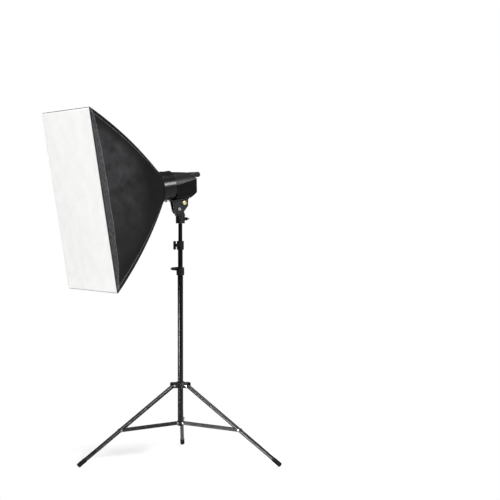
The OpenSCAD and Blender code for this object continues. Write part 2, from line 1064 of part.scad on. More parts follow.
module circuit_board() {
    color("#1f5a35")
        axis_frame()
            translate([-board_half, shell_wall - head_drop + board_up, board_back])
                cube([2 * board_half, board_t, board_front - board_back]);
}

module capacitor() {
    color("#30405e")
        axis_frame()
            translate([0, shell_wall - head_drop + board_up + board_t + capacitor_r + panel_fit, board_back])
                cylinder(r = capacitor_r, h = board_front - board_back);
}

// A bright dish behind the flash tube
module reflector_pan() {
    seat_f = shell_front + collar_flange_t;
    color("#d8d8d6")
        axis_frame()
            difference() {
                rotate_extrude()
                    polygon([
                        [pan_neck_r - pan_t, seat_f], [pan_neck_r, seat_f],
                        [pan_rim_r, pan_rim_f], [pan_rim_r - pan_t, pan_rim_f],
                        [pan_neck_r - pan_t, seat_f + pan_t]
                    ]);
                for (s = [-1, 1])
                    rotate([0, 0, s * tube_gap / 2 - 90])
                        translate([tube_ring_r, 0, 0])
                            cylinder(r = tube_post_r + control_gap, h = tube_f);
            }
}

module flash_tube() {
    seat_f = shell_front + collar_flange_t;
    color("#f3ead9")
        axis_frame() {
            translate([0, 0, tube_f])
                rotate([0, 0, tube_gap / 2 - 90])
                    rotate_extrude(angle = 360 - tube_gap)
                        translate([tube_ring_r, 0])
                            circle(r = tube_r);
            for (s = [-1, 1])
                rotate([0, 0, s * tube_gap / 2 - 90])
                    translate([tube_ring_r, 0, seat_f])
                        cylinder(r = tube_post_r, h = tube_f - seat_f);
        }
}

module modelling_lamp() {
    base_l = 20;
    bulb_r = 12;
    color("#efe7d3")
        axis_frame()
            translate([0, 0, shell_front]) {
                cylinder(r = collar_hole_r - control_gap, h = base_l);
                translate([0, 0, base_l + bulb_r - collar_hole_r / 2])
                    sphere(r = bulb_r);
            }
}

// The frame of the rod at angle a round the head axis: x outwards, z forward
module rod_frame(a) {
    axis_frame()
        rotate([0, 0, a])
            children();
}

// A cylinder along the first stretch of a rod
module rod_start(r, length) {
    next = bowed(rod_root, rod_end, rod_bow, 0.02) - rod_root;
    translate([rod_root[1], 0, rod_root[0]])
        rotate([0, atan2(next[1], next[0]), 0])
            translate([0, 0, -rod_socket_r])
                cylinder(r = r, h = length + rod_socket_r);
}

// The ring that carries the rods and turns in the mount collar
module speed_ring() {
    color("#2a2a2c")
        difference() {
            union() {
                axis_frame()
                    rotate_extrude()
                        polygon([
                            [ring_bore_r, ring_back - ring_spigot_l], [ring_spigot_r, ring_back - ring_spigot_l],
                            [ring_spigot_r, ring_back], [ring_r, ring_back],
                            [ring_r, ring_back + ring_t], [ring_bore_r, ring_back + ring_t]
                        ]);
                for (a = rod_angles)
                    rod_frame(a)
                        intersection() {
                            rod_start(rod_socket_r, rod_socket_l);
                            translate([0, -far, ring_back + ring_t / 2])
                                cube(2 * far);
                        }
            }
            for (a = rod_angles)
                rod_frame(a)
                    rod_start(rod_r + rod_fit, 2 * rod_socket_l);
        }
}

// Four sprung rods, each an arc from its socket in the ring to a front corner
module rods() {
    chord = rod_end - rod_root;
    half = norm(chord) / 2;
    arc_r = (half * half + rod_bow * rod_bow) / (2 * rod_bow);
    out = [-chord[1], chord[0]] / norm(chord);
    centre = (rod_root + rod_end) / 2 - out * (arc_r - rod_bow);
    span = 2 * asin(half / arc_r);
    color("#3a3a3c")
        for (a = rod_angles)
            rod_frame(a)
                rotate([90, 0, 0])
                    translate([centre[1], centre[0], 0])
                        rotate([0, 0, atan2(out[0], out[1]) - span / 2])
                            rotate_extrude(angle = span)
                                translate([arc_r, 0])
                                    circle(r = rod_r);
}

// The point at u along and v across a fabric panel whose corners lie at +-half round the axis
function fabric_point(root, tip, half, u, v) =
    let (
        corner = bowed(root, tip, rod_bow, u),
        w = round_share(u),
        slope = atan2(tip[1] * cos(half) - root[1] * cos(half), tip[0] - root[0]),
        sag = fabric_sag * (1 - v * v) * sag_share(u)
    )
    [
        corner[1] * (w * sin(half * v) + (1 - w) * sin(half) * v),
        corner[1] * (w * cos(half * v) + (1 - w) * cos(half)) - sag * cos(slope),
        corner[0] + sag * sin(slope)
    ];

// One sewn panel of the shell, from the ring to the front, as two skins joined round their edges
module fabric_panel(facing, half) {
    nu = fabric_steps;
    nv = fabric_across;
    row = nv + 1;
    skin = (nu + 1) * row;
    grids = [
        [[fabric_back, fabric_in_r], [fabric_front, corner_r - fabric_t / cos(half_slope)]],
        [[fabric_back - fabric_t / 2, fabric_out_r], [fabric_front, corner_r]]
    ];
    points = [
        for (g = grids, i = [0:nu], j = [0:nv])
            fabric_point(g[0], g[1], half, i / nu, 2 * j / nv - 1)
    ];
    quads = concat(
        [for (i = [0:nu - 1], j = [0:nv - 1])
            let (p = i * row + j)
            [p, p + row, p + row + 1, p + 1]],
        [for (i = [0:nu - 1], j = [0:nv - 1])
            let (p = skin + i * row + j)
            [p, p + 1, p + row + 1, p + row]],
        [for (j = [0:nv - 1]) [j, j + 1, skin + j + 1, skin + j]],
        [for (j = [0:nv - 1])
            let (p = nu * row + j)
            [p, p + skin, p + skin + 1, p + 1]],
        [for (i = [0:nu - 1])
            let (p = i * row)
            [p, p + skin, p + skin + row, p + row]],
        [for (i = [0:nu - 1])
            let (p = i * row + nv)
            [p, p + row, p + skin + row, p + skin]]
    );
    faces = [
        for (q = quads, k = [0, 1])
            k == 0 ? [q[0], q[1], q[2]] : [q[0], q[2], q[3]]
    ];
    color("#17171a")
        axis_frame()
            rotate([0, 0, facing - 90])
                polyhedron(points = points, faces = faces);
}

module panel_top() {
    fabric_panel(90, 90 - corner_angle);
}

module panel_bottom() {
    fabric_panel(270, 90 - corner_angle);
}

module panel_left() {
    fabric_panel(180, corner_angle);
}

module panel_right() {
    fabric_panel(0, corner_angle);
}

// The sewn edge of the shell behind the ring
module rear_hem() {
    hem_front = fabric_back - fabric_t / 2 - hem_gap;
    color("#101012")
        axis_frame()
            rotate_extrude()
                polygon([
                    [collar_r + 1, hem_front - hem_w], [fabric_out_r, hem_front - hem_w],
                    [fabric_out_r, hem_front], [collar_r + 1, hem_front]
                ]);
}

// An inner diffuser held to the rods by a strap at each corner
module inner_baffle() {
    hold = bowed(rod_root, rod_end, rod_bow, baffle_share);
    strap_end = hold[1] - rod_r / cos(half_slope) - baffle_t;
    color("#f1f1ee")
        axis_frame()
            translate([0, 0, hold[0] - baffle_t / 2])
                linear_extrude(height = baffle_t) {
                    square([baffle_w, baffle_h], center = true);
                    for (a = rod_angles)
                        rotate(a)
                            translate([strap_end - strap_l, -strap_half])
                                square([strap_l, 2 * strap_half]);
                }
}

// The white front, sewn round its edge to the shell
module front_diffuser() {
    color("#f4f4f2")
        axis_frame()
            translate([-front_w / 2, -front_h / 2, front_f])
                cube([front_w, front_h, diffuser_t]);
}

module leg_front() {
    leg(leg_angles[0]);
}

module leg_left() {
    leg(leg_angles[1]);
}

module leg_right() {
    leg(leg_angles[2]);
}

module foot_front() {
    foot(leg_angles[0]);
}

module foot_left() {
    foot(leg_angles[1]);
}

module foot_right() {
    foot(leg_angles[2]);
}

module brace_front() {
    brace(leg_angles[0]);
}

module brace_left() {
    brace(leg_angles[1]);
}

module brace_right() {
    brace(leg_angles[2]);
}

column_lower();
column_plug();
brace_hub();
hub_pins();
lower_clamp();
lower_clamp_knob();
leg_collar();
leg_pins();
collar_knob();
leg_front();
leg_left();
leg_right();
foot_front();
foot_left();
foot_right();
brace_front();
brace_left();
brace_right();
column_middle();
upper_clamp();
upper_clamp_knob();
column_upper();
spigot();
stand_adapter();
adapter_knob();
head_bracket();
pivot_bolt();
lock_bolt();
lock_nut();
mount_collar();
mount_release();
housing_lower();
housing_upper();
carry_handle();
control_panel();
panel_screws();
power_dial();
power_switch();
lamp_switch();
test_button();
ready_lamp();
slave_sensor();
sync_socket();
fuse_holder();
power_inlet();
circuit_board();
capacitor();
reflector_pan();
flash_tube();
modelling_lamp();
speed_ring();
rods();
panel_top();
panel_bottom();
panel_left();
panel_right();
rear_hem();
inner_baffle();
front_diffuser();
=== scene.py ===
import json
import math

import bmesh
import bpy
from mathutils import Matrix, Vector, noise


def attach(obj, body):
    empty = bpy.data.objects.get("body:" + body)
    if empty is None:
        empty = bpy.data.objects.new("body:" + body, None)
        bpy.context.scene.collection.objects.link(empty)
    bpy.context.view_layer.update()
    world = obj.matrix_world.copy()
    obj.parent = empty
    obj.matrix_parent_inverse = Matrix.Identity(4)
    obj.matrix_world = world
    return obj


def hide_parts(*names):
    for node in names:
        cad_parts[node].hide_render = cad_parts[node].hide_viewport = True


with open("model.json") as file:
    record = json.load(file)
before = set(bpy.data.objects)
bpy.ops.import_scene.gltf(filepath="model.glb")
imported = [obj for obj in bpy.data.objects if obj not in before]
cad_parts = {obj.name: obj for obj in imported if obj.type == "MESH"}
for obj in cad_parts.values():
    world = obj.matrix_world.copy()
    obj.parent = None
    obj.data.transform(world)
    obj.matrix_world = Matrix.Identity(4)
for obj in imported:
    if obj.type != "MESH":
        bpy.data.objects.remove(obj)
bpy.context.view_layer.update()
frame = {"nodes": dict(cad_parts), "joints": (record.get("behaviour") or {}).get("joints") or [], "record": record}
nodes = frame["nodes"]
joints = {joint["name"]: joint for joint in frame["joints"]}
scene = bpy.context.scene
scene.view_settings.view_transform = "Standard"
mm = 0.001

# Camera: a long lens at chest height, to the right of the softbox's face
photoCamera = {
    "place": (6.4746, -2.9485, 0.9835),    # metres from the floor point under the column
    "heading": (-0.8934, 0.4493),          # across the floor
    "pitch": -0.022,                       # radians, a little downward
    "lens": 129.8,                         # mm, on a sensor of the next width
    "sensor": 36.0,
}


def makeCamera(spec):
    data = bpy.data.cameras.new("photoCamera")
    data.lens = spec["lens"]
    data.sensor_width = spec["sensor"]
    camera = bpy.data.objects.new("photoCamera", data)
    scene.collection.objects.link(camera)
    level = math.cos(spec["pitch"])
    look = Vector((spec["heading"][0] * level, spec["heading"][1] * level, math.sin(spec["pitch"])))
    camera.location = spec["place"]
    camera.rotation_euler = look.to_track_quat("-Z", "Y").to_euler()
    scene.camera = camera


makeCamera(photoCamera)
print("camera set")


# Small helpers for materials
def hexColour(code):
    parts = [int(code[i:i + 2], 16) / 255 for i in (0, 2, 4)]
    linear = [p / 12.92 if p <= 0.04045 else ((p + 0.055) / 1.055) ** 2.4 for p in parts]
    return (*linear, 1.0)


def addNode(tree, kind, inputs=None, stops=None, **settings):
    # an input takes a value, a socket, or a node for its first output
    node = tree.nodes.new("ShaderNode" + kind)
    for key, value in settings.items():
        setattr(node, key, value)
    for key, value in (inputs or {}).items():
        if isinstance(value, bpy.types.Node):
            value = value.outputs[0]
        if isinstance(value, bpy.types.NodeSocket):
            tree.links.new(value, node.inputs[key])
        else:
            node.inputs[key].default_value = value
    if stops:
        ramp = node.color_ramp.elements
        ramp[0].position, ramp[0].color = stops[0]
        ramp[1].position, ramp[1].color = stops[-1]
        for place, colour in stops[1:-1]:
            ramp.new(place).color = colour
    return node


def startMaterial(name, spec):
    material = bpy.data.materials.new(name)
    material.use_nodes = True
    shader = material.node_tree.nodes["Principled BSDF"]
    for key, value in spec.get("sockets", {}).items():
        shader.inputs[key].default_value = value
    return material, material.node_tree, shader


waveTurn = 20.0    # radians that a wave texture turns through for each unit of its scale
mottle = {"low": 0.3, "high": 0.7, "detail": 4.0, "broken": 0.6, "gritDetail": 2.0}    # how the noise is read


def perMm(size):
    return 1000.0 / size    # a texture scale whose features are about this many millimetres


def bandsPerMm(pitch):
    return perMm(pitch) * 2.0 * math.pi / waveTurn


def mottled(tree, shader, spec, where):
    # cloudy colour, patchy roughness and fine grit, each at its own size in millimetres
    clouds = addNode(tree, "TexNoise",
                     {"Vector": where, "Scale": perMm(spec["cloud"]), "Detail": mottle["detail"],
                      "Roughness": mottle["broken"]})
    tint = addNode(tree, "ValToRGB", {"Fac": clouds}, stops=[(mottle["low"], hexColour(spec["dark"])),
                                                             (mottle["high"], hexColour(spec["light"]))])
    tree.links.new(tint.outputs["Color"], shader.inputs["Base Color"])
    patchy = addNode(tree, "MapRange",
                     {"Value": clouds, "From Min": mottle["low"], "From Max": mottle["high"],
                      "To Min": spec["rough"][0], "To Max": spec["rough"][1]})
    tree.links.new(patchy.outputs["Result"], shader.inputs["Roughness"])
    grit = addNode(tree, "TexNoise",
                   {"Vector": where, "Scale": perMm(spec["grit"]), "Detail": mottle["gritDetail"]})
    bump = addNode(tree, "Bump",
                   {"Height": grit, "Strength": spec["bump"], "Distance": spec["depth"] * mm})
    tree.links.new(bump.outputs["Normal"], shader.inputs["Normal"])
    return tint, bump


def surfaceMaterial(name, spec, coordinates="Object"):
    material, tree, shader = startMaterial(name, spec)
    mottled(tree, shader, spec, addNode(tree, "TexCoord").outputs[coordinates])
    return material


# Hard materials. Each entry is the real surface and what it gives the eye.
hardFinishes = {
    # stove enamel on steel tube: deep black, with one crisp streak from each lamp along its length
    "enamelledSteel": {"dark": "060607", "light": "0c0c0d", "rough": (0.11, 0.15), "cloud": 60, "grit": 1.6,
                       "bump": 0.004, "depth": 0.04, "sockets": {"Specular IOR Level": 0.28}},
    # painted flat steel: satin black, a little greyer on its worn faces
    "paintedSteel": {"dark": "080809", "light": "111112", "rough": (0.34, 0.46), "cloud": 25, "grit": 2.0,
                     "bump": 0.1, "depth": 0.1, "sockets": {"Specular IOR Level": 0.3}},
    # glass-filled nylon, moulded: dull black with a fine spark-eroded grain, drawn coarser than real
    "mouldedNylon": {"dark": "0a0a0b", "light": "151517", "rough": (0.38, 0.52), "cloud": 18, "grit": 1.2,
                     "bump": 0.2, "depth": 0.15, "sockets": {"Specular IOR Level": 0.14}},
    # rubber: soft black with almost no shine
    "mouldedRubber": {"dark": "0a0a0a", "light": "141414", "rough": (0.68, 0.85), "cloud": 12, "grit": 0.9,
                      "bump": 0.3, "depth": 0.2, "sockets": {"Specular IOR Level": 0.1}},
    # zinc plate on steel: bright grey with a cloudy passivated bloom
    "zincSteel": {"dark": "77797c", "light": "b2b5b9", "rough": (0.22, 0.4), "cloud": 6, "grit": 1.0,
                  "bump": 0.1, "depth": 0.1, "sockets": {"Metallic": 1.0}},
    # zinc plate that has dulled: the pivot bolt
    "dullZinc": {"dark": "5c5e61", "light": "7b7d80", "rough": (0.34, 0.46), "cloud": 25, "grit": 1.0,
                 "bump": 0.1, "depth": 0.1, "sockets": {"Metallic": 1.0}},
    # powder coat on die-cast alloy: dark grey, with a pebbled skin
    "powderCoat": {"dark": "0e0f10", "light": "1c1d1f", "rough": (0.36, 0.5), "cloud": 14, "grit": 1.4,
                   "bump": 0.3, "depth": 0.2, "sockets": {"Specular IOR Level": 0.18}},
    # turned brass: pale yellow, with olive tarnish in its low spots
    "turnedBrass": {"dark": "5a5732", "light": "cdc697", "rough": (0.24, 0.4), "cloud": 14, "grit": 0.8,
                    "bump": 0.1, "depth": 0.1, "sockets": {"Metallic": 1.0}},
    # ABS, moulded and polished: near black, with soft-edged highlights
    "polishedAbs": {"dark": "050506", "light": "0a0a0c", "rough": (0.24, 0.29), "cloud": 30, "grit": 1.4,
                    "bump": 0.02, "depth": 0.1, "sockets": {"Specular IOR Level": 0.26}},
    # the same ABS left satin from the mould: a broad grey sheen in place of a highlight
    "satinAbs": {"dark": "050506", "light": "0a0a0c", "rough": (0.37, 0.43), "cloud": 30, "grit": 1.4,
                 "bump": 0.04, "depth": 0.1, "sockets": {"Specular IOR Level": 0.22}},
    # ABS with an etched texture: the matt control plate
    "etchedAbs": {"dark": "08080a", "light": "101012", "rough": (0.5, 0.62), "cloud": 20, "grit": 1.1,
                  "bump": 0.25, "depth": 0.15, "sockets": {"Specular IOR Level": 0.14}},
    # the same texture on the housing's underside, darkened as painted shade so that it shows no light
    "shadeDarkenedAbs": {"dark": "040405", "light": "08080a", "rough": (0.45, 0.55), "cloud": 24, "grit": 1.1,
                   "bump": 0.15, "depth": 0.15, "sockets": {"Specular IOR Level": 0.06}},
    # grey acetal: the release button
    "greyAcetal": {"dark": "4a4c4f", "light": "66686b", "rough": (0.35, 0.48), "cloud": 8, "grit": 1.0,
                   "bump": 0.12, "depth": 0.15, "sockets": {"Specular IOR Level": 0.3}},
    # blackened steel: the panel's screws
    "blackScrew": {"dark": "141415", "light": "2a2a2c", "rough": (0.3, 0.45), "cloud": 3, "grit": 0.7,
                   "bump": 0.12, "depth": 0.1, "sockets": {"Metallic": 0.6}},
    # tinted polycarbonate: rockers, buttons and lenses with a deep glossy colour
    "redPolycarbonate": {"dark": "8f1512", "light": "c4261f", "rough": (0.14, 0.24), "cloud": 6, "grit": 1.5,
                         "bump": 0.05, "depth": 0.1, "sockets": {"Coat Weight": 0.3}},
    "greenPolycarbonate": {"dark": "1f7a34", "light": "49b25c", "rough": (0.14, 0.24), "cloud": 4,
                           "grit": 1.5, "bump": 0.05, "depth": 0.1, "sockets": {"Coat Weight": 0.3}},
    # white pad-printing ink: the dial's scale and pointer
    "printingInk": {"dark": "bdbdb9", "light": "dadad5", "rough": (0.42, 0.56), "cloud": 5, "grit": 0.8,
                    "bump": 0.06, "depth": 0.05},
    # nickel plate on the sync socket: warm bright metal
    "nickelPlate": {"dark": "a7a59e", "light": "d6d4cd", "rough": (0.15, 0.28), "cloud": 5, "grit": 0.8,
                    "bump": 0.06, "depth": 0.1, "sockets": {"Metallic": 1.0}},
    # glass-epoxy board under green mask
    "maskedBoard": {"dark": "14502c", "light": "2b7a45", "rough": (0.3, 0.42), "cloud": 4, "grit": 0.8,
                    "bump": 0.15, "depth": 0.1},
    # shrunk sleeve on the capacitor
    "shrinkSleeve": {"dark": "1a2f63", "light": "2a4a8c", "rough": (0.25, 0.36), "cloud": 15, "grit": 2.0,
                     "bump": 0.08, "depth": 0.1},
    # bright-dipped aluminium: the pebbled reflector behind the tube
    "brightAluminium": {"dark": "c3c6c9", "light": "e8eaec", "rough": (0.14, 0.26), "cloud": 10, "grit": 3.0,
                        "bump": 0.4, "depth": 0.5, "sockets": {"Metallic": 1.0}},
    # black anodised aluminium: the speed ring
    "anodisedAluminium": {"dark": "141518", "light": "232428", "rough": (0.32, 0.44), "cloud": 20,
                          "grit": 1.0, "bump": 0.12, "depth": 0.1,
                          "sockets": {"Metallic": 0.4, "Specular IOR Level": 0.25}},
    # drawn spring steel: the rods
    "springSteel": {"dark": "6d6f73", "light": "9b9da1", "rough": (0.25, 0.38), "cloud": 12, "grit": 0.9,
                    "bump": 0.08, "depth": 0.1, "sockets": {"Metallic": 1.0}},
    # fused quartz: a frosted clear tube, milky where the electrodes have greyed it
    "quartzGlass": {"dark": "c9d2d6", "light": "f3f6f7", "rough": (0.08, 0.2), "cloud": 14, "grit": 2.0,
                    "bump": 0.05, "depth": 0.1, "sockets": {"Transmission Weight": 0.75, "IOR": 1.46}},
}
finishes = {name: surfaceMaterial(name, spec) for name, spec in hardFinishes.items()}
print("hard materials made:", len(finishes))

# Cloth materials: on a sheet the pattern follows the cloth, whose UV map is in metres across and along.
# Coated nylon, plain-woven, with its threads six times as wide as real ones so that they show close up
shellCloth = {"dark": "060606", "light": "131314", "rough": (0.6, 0.78), "cloud": 110, "grit": 7.0,
              "bump": 0.35, "depth": 0.8, "sockets": {"Specular IOR Level": 0.12},
              "thread": 2.4, "threadBump": 0.12, "threadDepth": 0.2}
# dust clouds, spread as a painted sheen with painted shade, and the light caught on the crumples behind the rim,
# painted as paler patches
shellDustAndSheen = {"size": 75.0, "detail": 6.0, "broken": 0.62, "span": (0.24, 0.74), "colour": "38383a"}
# painted highlights: paler patches where light catches the crumples
shellCrumpleHighlights = {"size": 15.0, "detail": 6.0, "broken": 0.75, "span": (0.36, 0.72), "colour": "505052"}
# stitches, in mm, twice as long as real ones; bare is the share of the wave that lies under the cloth
stitching = {"inset": 14.0, "thread": 1.2, "pitch": 8.0, "bare": 0.3, "colour": "6a6a6c"}
# aluminised polyester: crinkled silver on the inside of the shell
liningCloth = {"dark": "a9acb0", "light": "d5d8db", "rough": (0.32, 0.5), "cloud": 30, "grit": 7.0,
               "bump": 0.5, "depth": 1.0, "sockets": {"Metallic": 0.75}}
# white rip-stop nylon: matt and even, with a fine square grid of thicker threads
diffuserWeave = {"dark": "e3e3e2", "light": "ebebea", "rough": (0.72, 0.86), "cloud": 80, "grit": 4.0,
                 "bump": 0.08, "depth": 0.3, "sockets": {"Sheen Weight": 0.05, "Specular IOR Level": 0.3},
                 "thread": 8.0, "threadBump": 0.06, "threadDepth": 0.15}
# woven polyester tape: a ribbed band that binds the sewn edges
tapeWeave = {"rough": (0.6, 0.75), "cloud": 20, "grit": 1.6, "bump": 0.35, "depth": 0.4,
             "sockets": {"Specular IOR Level": 0.2}}
tapeColours = {"bindingTape": ("151516", "2a2a2c"), "elasticHem": ("0b0b0c", "161618"),
               "whiteStrap": ("d9d9d6", "efefec")}


def startWoven(name, spec):
    # mottled cloth with threads both ways, raised over its grit
    material, tree, shader = startMaterial(name, spec)
    cloth = addNode(tree, "TexCoord").outputs["UV"]
    tint, grit = mottled(tree, shader, spec, cloth)
    threads = [addNode(tree, "TexWave", {"Vector": cloth, "Scale": bandsPerMm(spec["thread"])},
                       wave_type="BANDS", bands_direction=way).outputs["Fac"] for way in ("X", "Y")]
    weave = addNode(tree, "Math", {0: threads[0], 1: threads[1]}, operation="MAXIMUM")
    woven = addNode(tree, "Bump", {"Height": weave, "Strength": spec["threadBump"],
                                   "Distance": spec["threadDepth"] * mm, "Normal": grit})
    tree.links.new(woven.outputs["Normal"], shader.inputs["Normal"])
    return material, cloth, tint, shader


def patchOver(tree, cloth, spec, attribute, under):
    # cloudy patches of a paler colour, as strong as an attribute of the cloth says
    spots = addNode(tree, "TexNoise", {"Vector": cloth, "Scale": perMm(spec["size"]),
                                       "Detail": spec["detail"], "Roughness": spec["broken"]})
    patches = addNode(tree, "MapRange", {"Value": spots, "From Min": spec["span"][0],
                                         "From Max": spec["span"][1]})
    strength = addNode(tree, "Attribute", attribute_name=attribute).outputs["Fac"]
    share = addNode(tree, "Math", {0: patches, 1: strength}, operation="MULTIPLY")
    mixed = addNode(tree, "Mix", {"Factor": share, 6: under, 7: hexColour(spec["colour"])}, data_type="RGBA")
    return mixed.outputs[2]


def stitchRow(tree, cloth, attribute, inset, along):
    # a dashed row of thread at a set distance from the line that the attribute measures from
    reach = addNode(tree, "Attribute", attribute_name=attribute).outputs["Fac"]
    away = addNode(tree, "Math", {0: reach, 1: inset * mm}, operation="SUBTRACT")
    near = addNode(tree, "Math", {0: away}, operation="ABSOLUTE")
    line = addNode(tree, "Math", {0: near, 1: stitching["thread"] * mm}, operation="LESS_THAN")
    wave = addNode(tree, "TexWave", {"Vector": cloth, "Scale": bandsPerMm(stitching["pitch"])},
                   wave_type="BANDS", bands_direction=along).outputs["Fac"]
    above = addNode(tree, "Math", {0: wave, 1: stitching["bare"]}, operation="GREATER_THAN")
    return addNode(tree, "Math", {0: line, 1: above}, operation="MULTIPLY")


def shellNylon():
    # charcoal black, with dust clouds spread as a painted sheen, painted highlights in the crumpled band, and rows
    # of grey stitches
    material, cloth, tint, shader = startWoven("shellNylon", shellCloth)
    tree = material.node_tree
    dustedAndSheened = patchOver(tree, cloth, shellDustAndSheen, "dustAndSheen", tint)
    banded = patchOver(tree, cloth, shellCrumpleHighlights, "lipShare", dustedAndSheened)
    sleeveRow = stitchRow(tree, cloth, "edgeDistance", stitching["inset"], "Y")    # beside each rod
    creaseRow = stitchRow(tree, cloth, "creaseDistance", 0.0, "X")
    stitch = addNode(tree, "Math", {0: sleeveRow, 1: creaseRow}, operation="MAXIMUM")
    sewn = addNode(tree, "Mix", {"Factor": stitch, 6: banded, 7: hexColour(stitching["colour"])},
                   data_type="RGBA")
    tree.links.new(sewn.outputs[2], shader.inputs["Base Color"])
    return material


finishes["shellNylon"] = shellNylon()
finishes["silverLining"] = surfaceMaterial("silverLining", liningCloth, "UV")
finishes["diffuserNylon"] = startWoven("diffuserNylon", diffuserWeave)[0]
for name, (dark, light) in tapeColours.items():
    finishes[name] = surfaceMaterial(name, {**tapeWeave, "dark": dark, "light": light})
print("cloth materials made")

# The head's own frame: x across, y up, z forward along the softbox's axis, with its zero over the tilt pivot
headForward = Vector(joints["softbox_turn"]["axis"]).normalized()
headAcross = Vector((1.0, 0.0, 0.0))
headUp = headForward.cross(headAcross)
tiltPoint = Vector(joints["head_tilt"]["pos_m"])
axisRise = (Vector(joints["softbox_turn"]["pos_m"]) - tiltPoint).dot(headUp)
headFrame = Matrix((headAcross, headUp, headForward)).transposed().to_4x4()
headFrame.translation = tiltPoint + headUp * axisRise


def headBox(name):
    toHead = headFrame.inverted()
    spots = [toHead @ v.co for v in nodes[name].data.vertices]
    low = Vector([min(s[i] for s in spots) for i in range(3)]) / mm
    high = Vector([max(s[i] for s in spots) for i in range(3)]) / mm
    return low, high


def inScene(x, y, z):
    return headFrame @ (Vector((x, y, z)) * mm)    # from millimetres in the head's frame


def finishPiece(bm, name, body, finish, replaced=(), second=None):
    mesh = bpy.data.meshes.new(name)
    bm.to_mesh(mesh)
    bm.free()
    mesh.materials.append(finishes[finish])
    if second:
        mesh.materials.append(finishes[second])
    for face in mesh.polygons:
        face.use_smooth = True
    piece = bpy.data.objects.new(name, mesh)
    scene.collection.objects.link(piece)
    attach(piece, body)
    if replaced:
        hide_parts(*replaced)
    return piece


def smoothStep(span, value):
    t = min(max((value - span[0]) / (span[1] - span[0]), 0.0), 1.0)
    return t * t * (3.0 - 2.0 * t)


def startCloth(spec):
    bm = bmesh.new()
    bmesh.ops.create_grid(bm, x_segments=spec["across"], y_segments=spec["along"], size=1.0)
    return bm, bm.loops.layers.uv.new("cloth")


def layFlat(bm, uvLayer, flat):
    # each corner's place on the flat cloth, in metres
    for face in bm.faces:
        for loop in face.loops:
            loop[uvLayer].uv = flat[loop.vert]


def addWall(piece, thick, offset):
    # an offset of 1 puts the wall outside the sheet, -1 inside it, and 0 half on each side
    wall = piece.modifiers.new("wall", "SOLIDIFY")
    wall.thickness = thick * mm
    wall.offset = offset
    return wall


# The shell: four panels pulled over bowed rods, slack across the middle and drawn in behind the front rim
diffuserLow, diffuserHigh = headBox("front_diffuser")
shell = {
    "halfWide": diffuserHigh.x, "halfTall": diffuserHigh.y,    # mm, the front rim, from the CAD diffuser
    "backF": headBox("mount_collar")[1].z,                     # where the cloth starts along the axis
    "frontGap": 0.3,                                           # and how far behind the diffuser it ends
    "backR": 64.2, "rounding": 3,                              # outside of the ring; the power it flattens by
    "bow": 14.0, "sag": 16.0,                                  # of the rods, and of the cloth at its crease
    "lipReach": 0.13, "lipLeast": 0.004,                       # crease to rim, in shares of the length
    "lipCurve": 0.6, "sagLate": 5.0, "sagBack": 0.8,           # powers: its bow, slow up to it, fast past it
    "thick": 1.0, "along": 96, "across": 96,
    "bunch": 0.55,                                             # draws the mesh closer at the sewn edges
    "seed": 1.3, "seedStep": 3.7,                              # so that no two panels crumple alike
}
shell["frontF"] = diffuserLow.z - shell["frontGap"]
shell["run"] = shell["frontF"] - shell["backF"]
shell["cornerR"] = math.hypot(shell["halfWide"], shell["halfTall"])
shell["cornerAngle"] = math.atan2(shell["halfTall"], shell["halfWide"])
cornerAngles = (shell["cornerAngle"], math.pi - shell["cornerAngle"],
                math.pi + shell["cornerAngle"], -shell["cornerAngle"])
wrinkles = {    # heights in mm, with spans in mm from a sewn edge or the rim
    "sleeve": 2.2, "sleeveRise": (0.0, 4.0), "sleeveFall": (13.0, 8.0),     # the rod's sleeve at each corner
    "slack": 3.2, "slackGrain": (0.012, 6.0),                               # broad waves: per mm, per length
    "edgeFree": (0.0, 40.0), "rimFree": (0.0, 9.0),
    "pucker": 2.6, "puckerFall": (70.0, 30.0), "puckerRise": (0.0, 12.0),   # small ones behind the rim
    "puckerGrains": ((1.0, 0.05, 0.012, 9.0), (0.5, 0.11, 0.03, 19.0)),     # share, per mm each way, seed
    "pleat": 0.5, "pleatGrain": 0.55,                                       # at the ring, in radians per mm,
    "pleatFall": (0.12, 0.02), "pleatRise": (0.0, 0.015),                   # with spans in shares of length
}
# dust clouds weighted by painted light: a painted sheen on the upper half, painted shade by the seams and the ring
dustAndSheen = {"least": 0.25, "height": (-220.0, 120.0),          # mm: a painted sheen, lighter on the upper half,
         "fromEdge": (10.0, 90.0), "length": (0.25, 0.65)}  # mm and shares: painted shade by the seams and the ring
lipFade = (-2.0, 4.0)    # mm from the crease over which the painted highlight band starts


def cornerLine(u):
    # the bowed line of a corner: how far forward and how far from the axis
    rise = shell["cornerR"] - shell["backR"]
    length = math.hypot(shell["run"], rise)
    out = shell["bow"] * 4.0 * u * (1.0 - u)
    forward = shell["backF"] + shell["run"] * u - rise / length * out
    return forward, shell["backR"] + rise * u + shell["run"] / length * out


def creaseAt(v):
    return 1.0 - shell["lipReach"] * max(1.0 - v * v, 0.0) ** shell["lipCurve"] - shell["lipLeast"]


def lipShape(u, v):
    # grows slowly from the ring to a crease close behind the rim, and comes back fast to the rim
    crease = creaseAt(v)
    if u < crease:
        inward = (u / crease) ** shell["sagLate"]
    else:
        inward = ((1.0 - u) / (1.0 - crease)) ** shell["sagBack"]
    return max(1.0 - v * v, 0.0) * inward


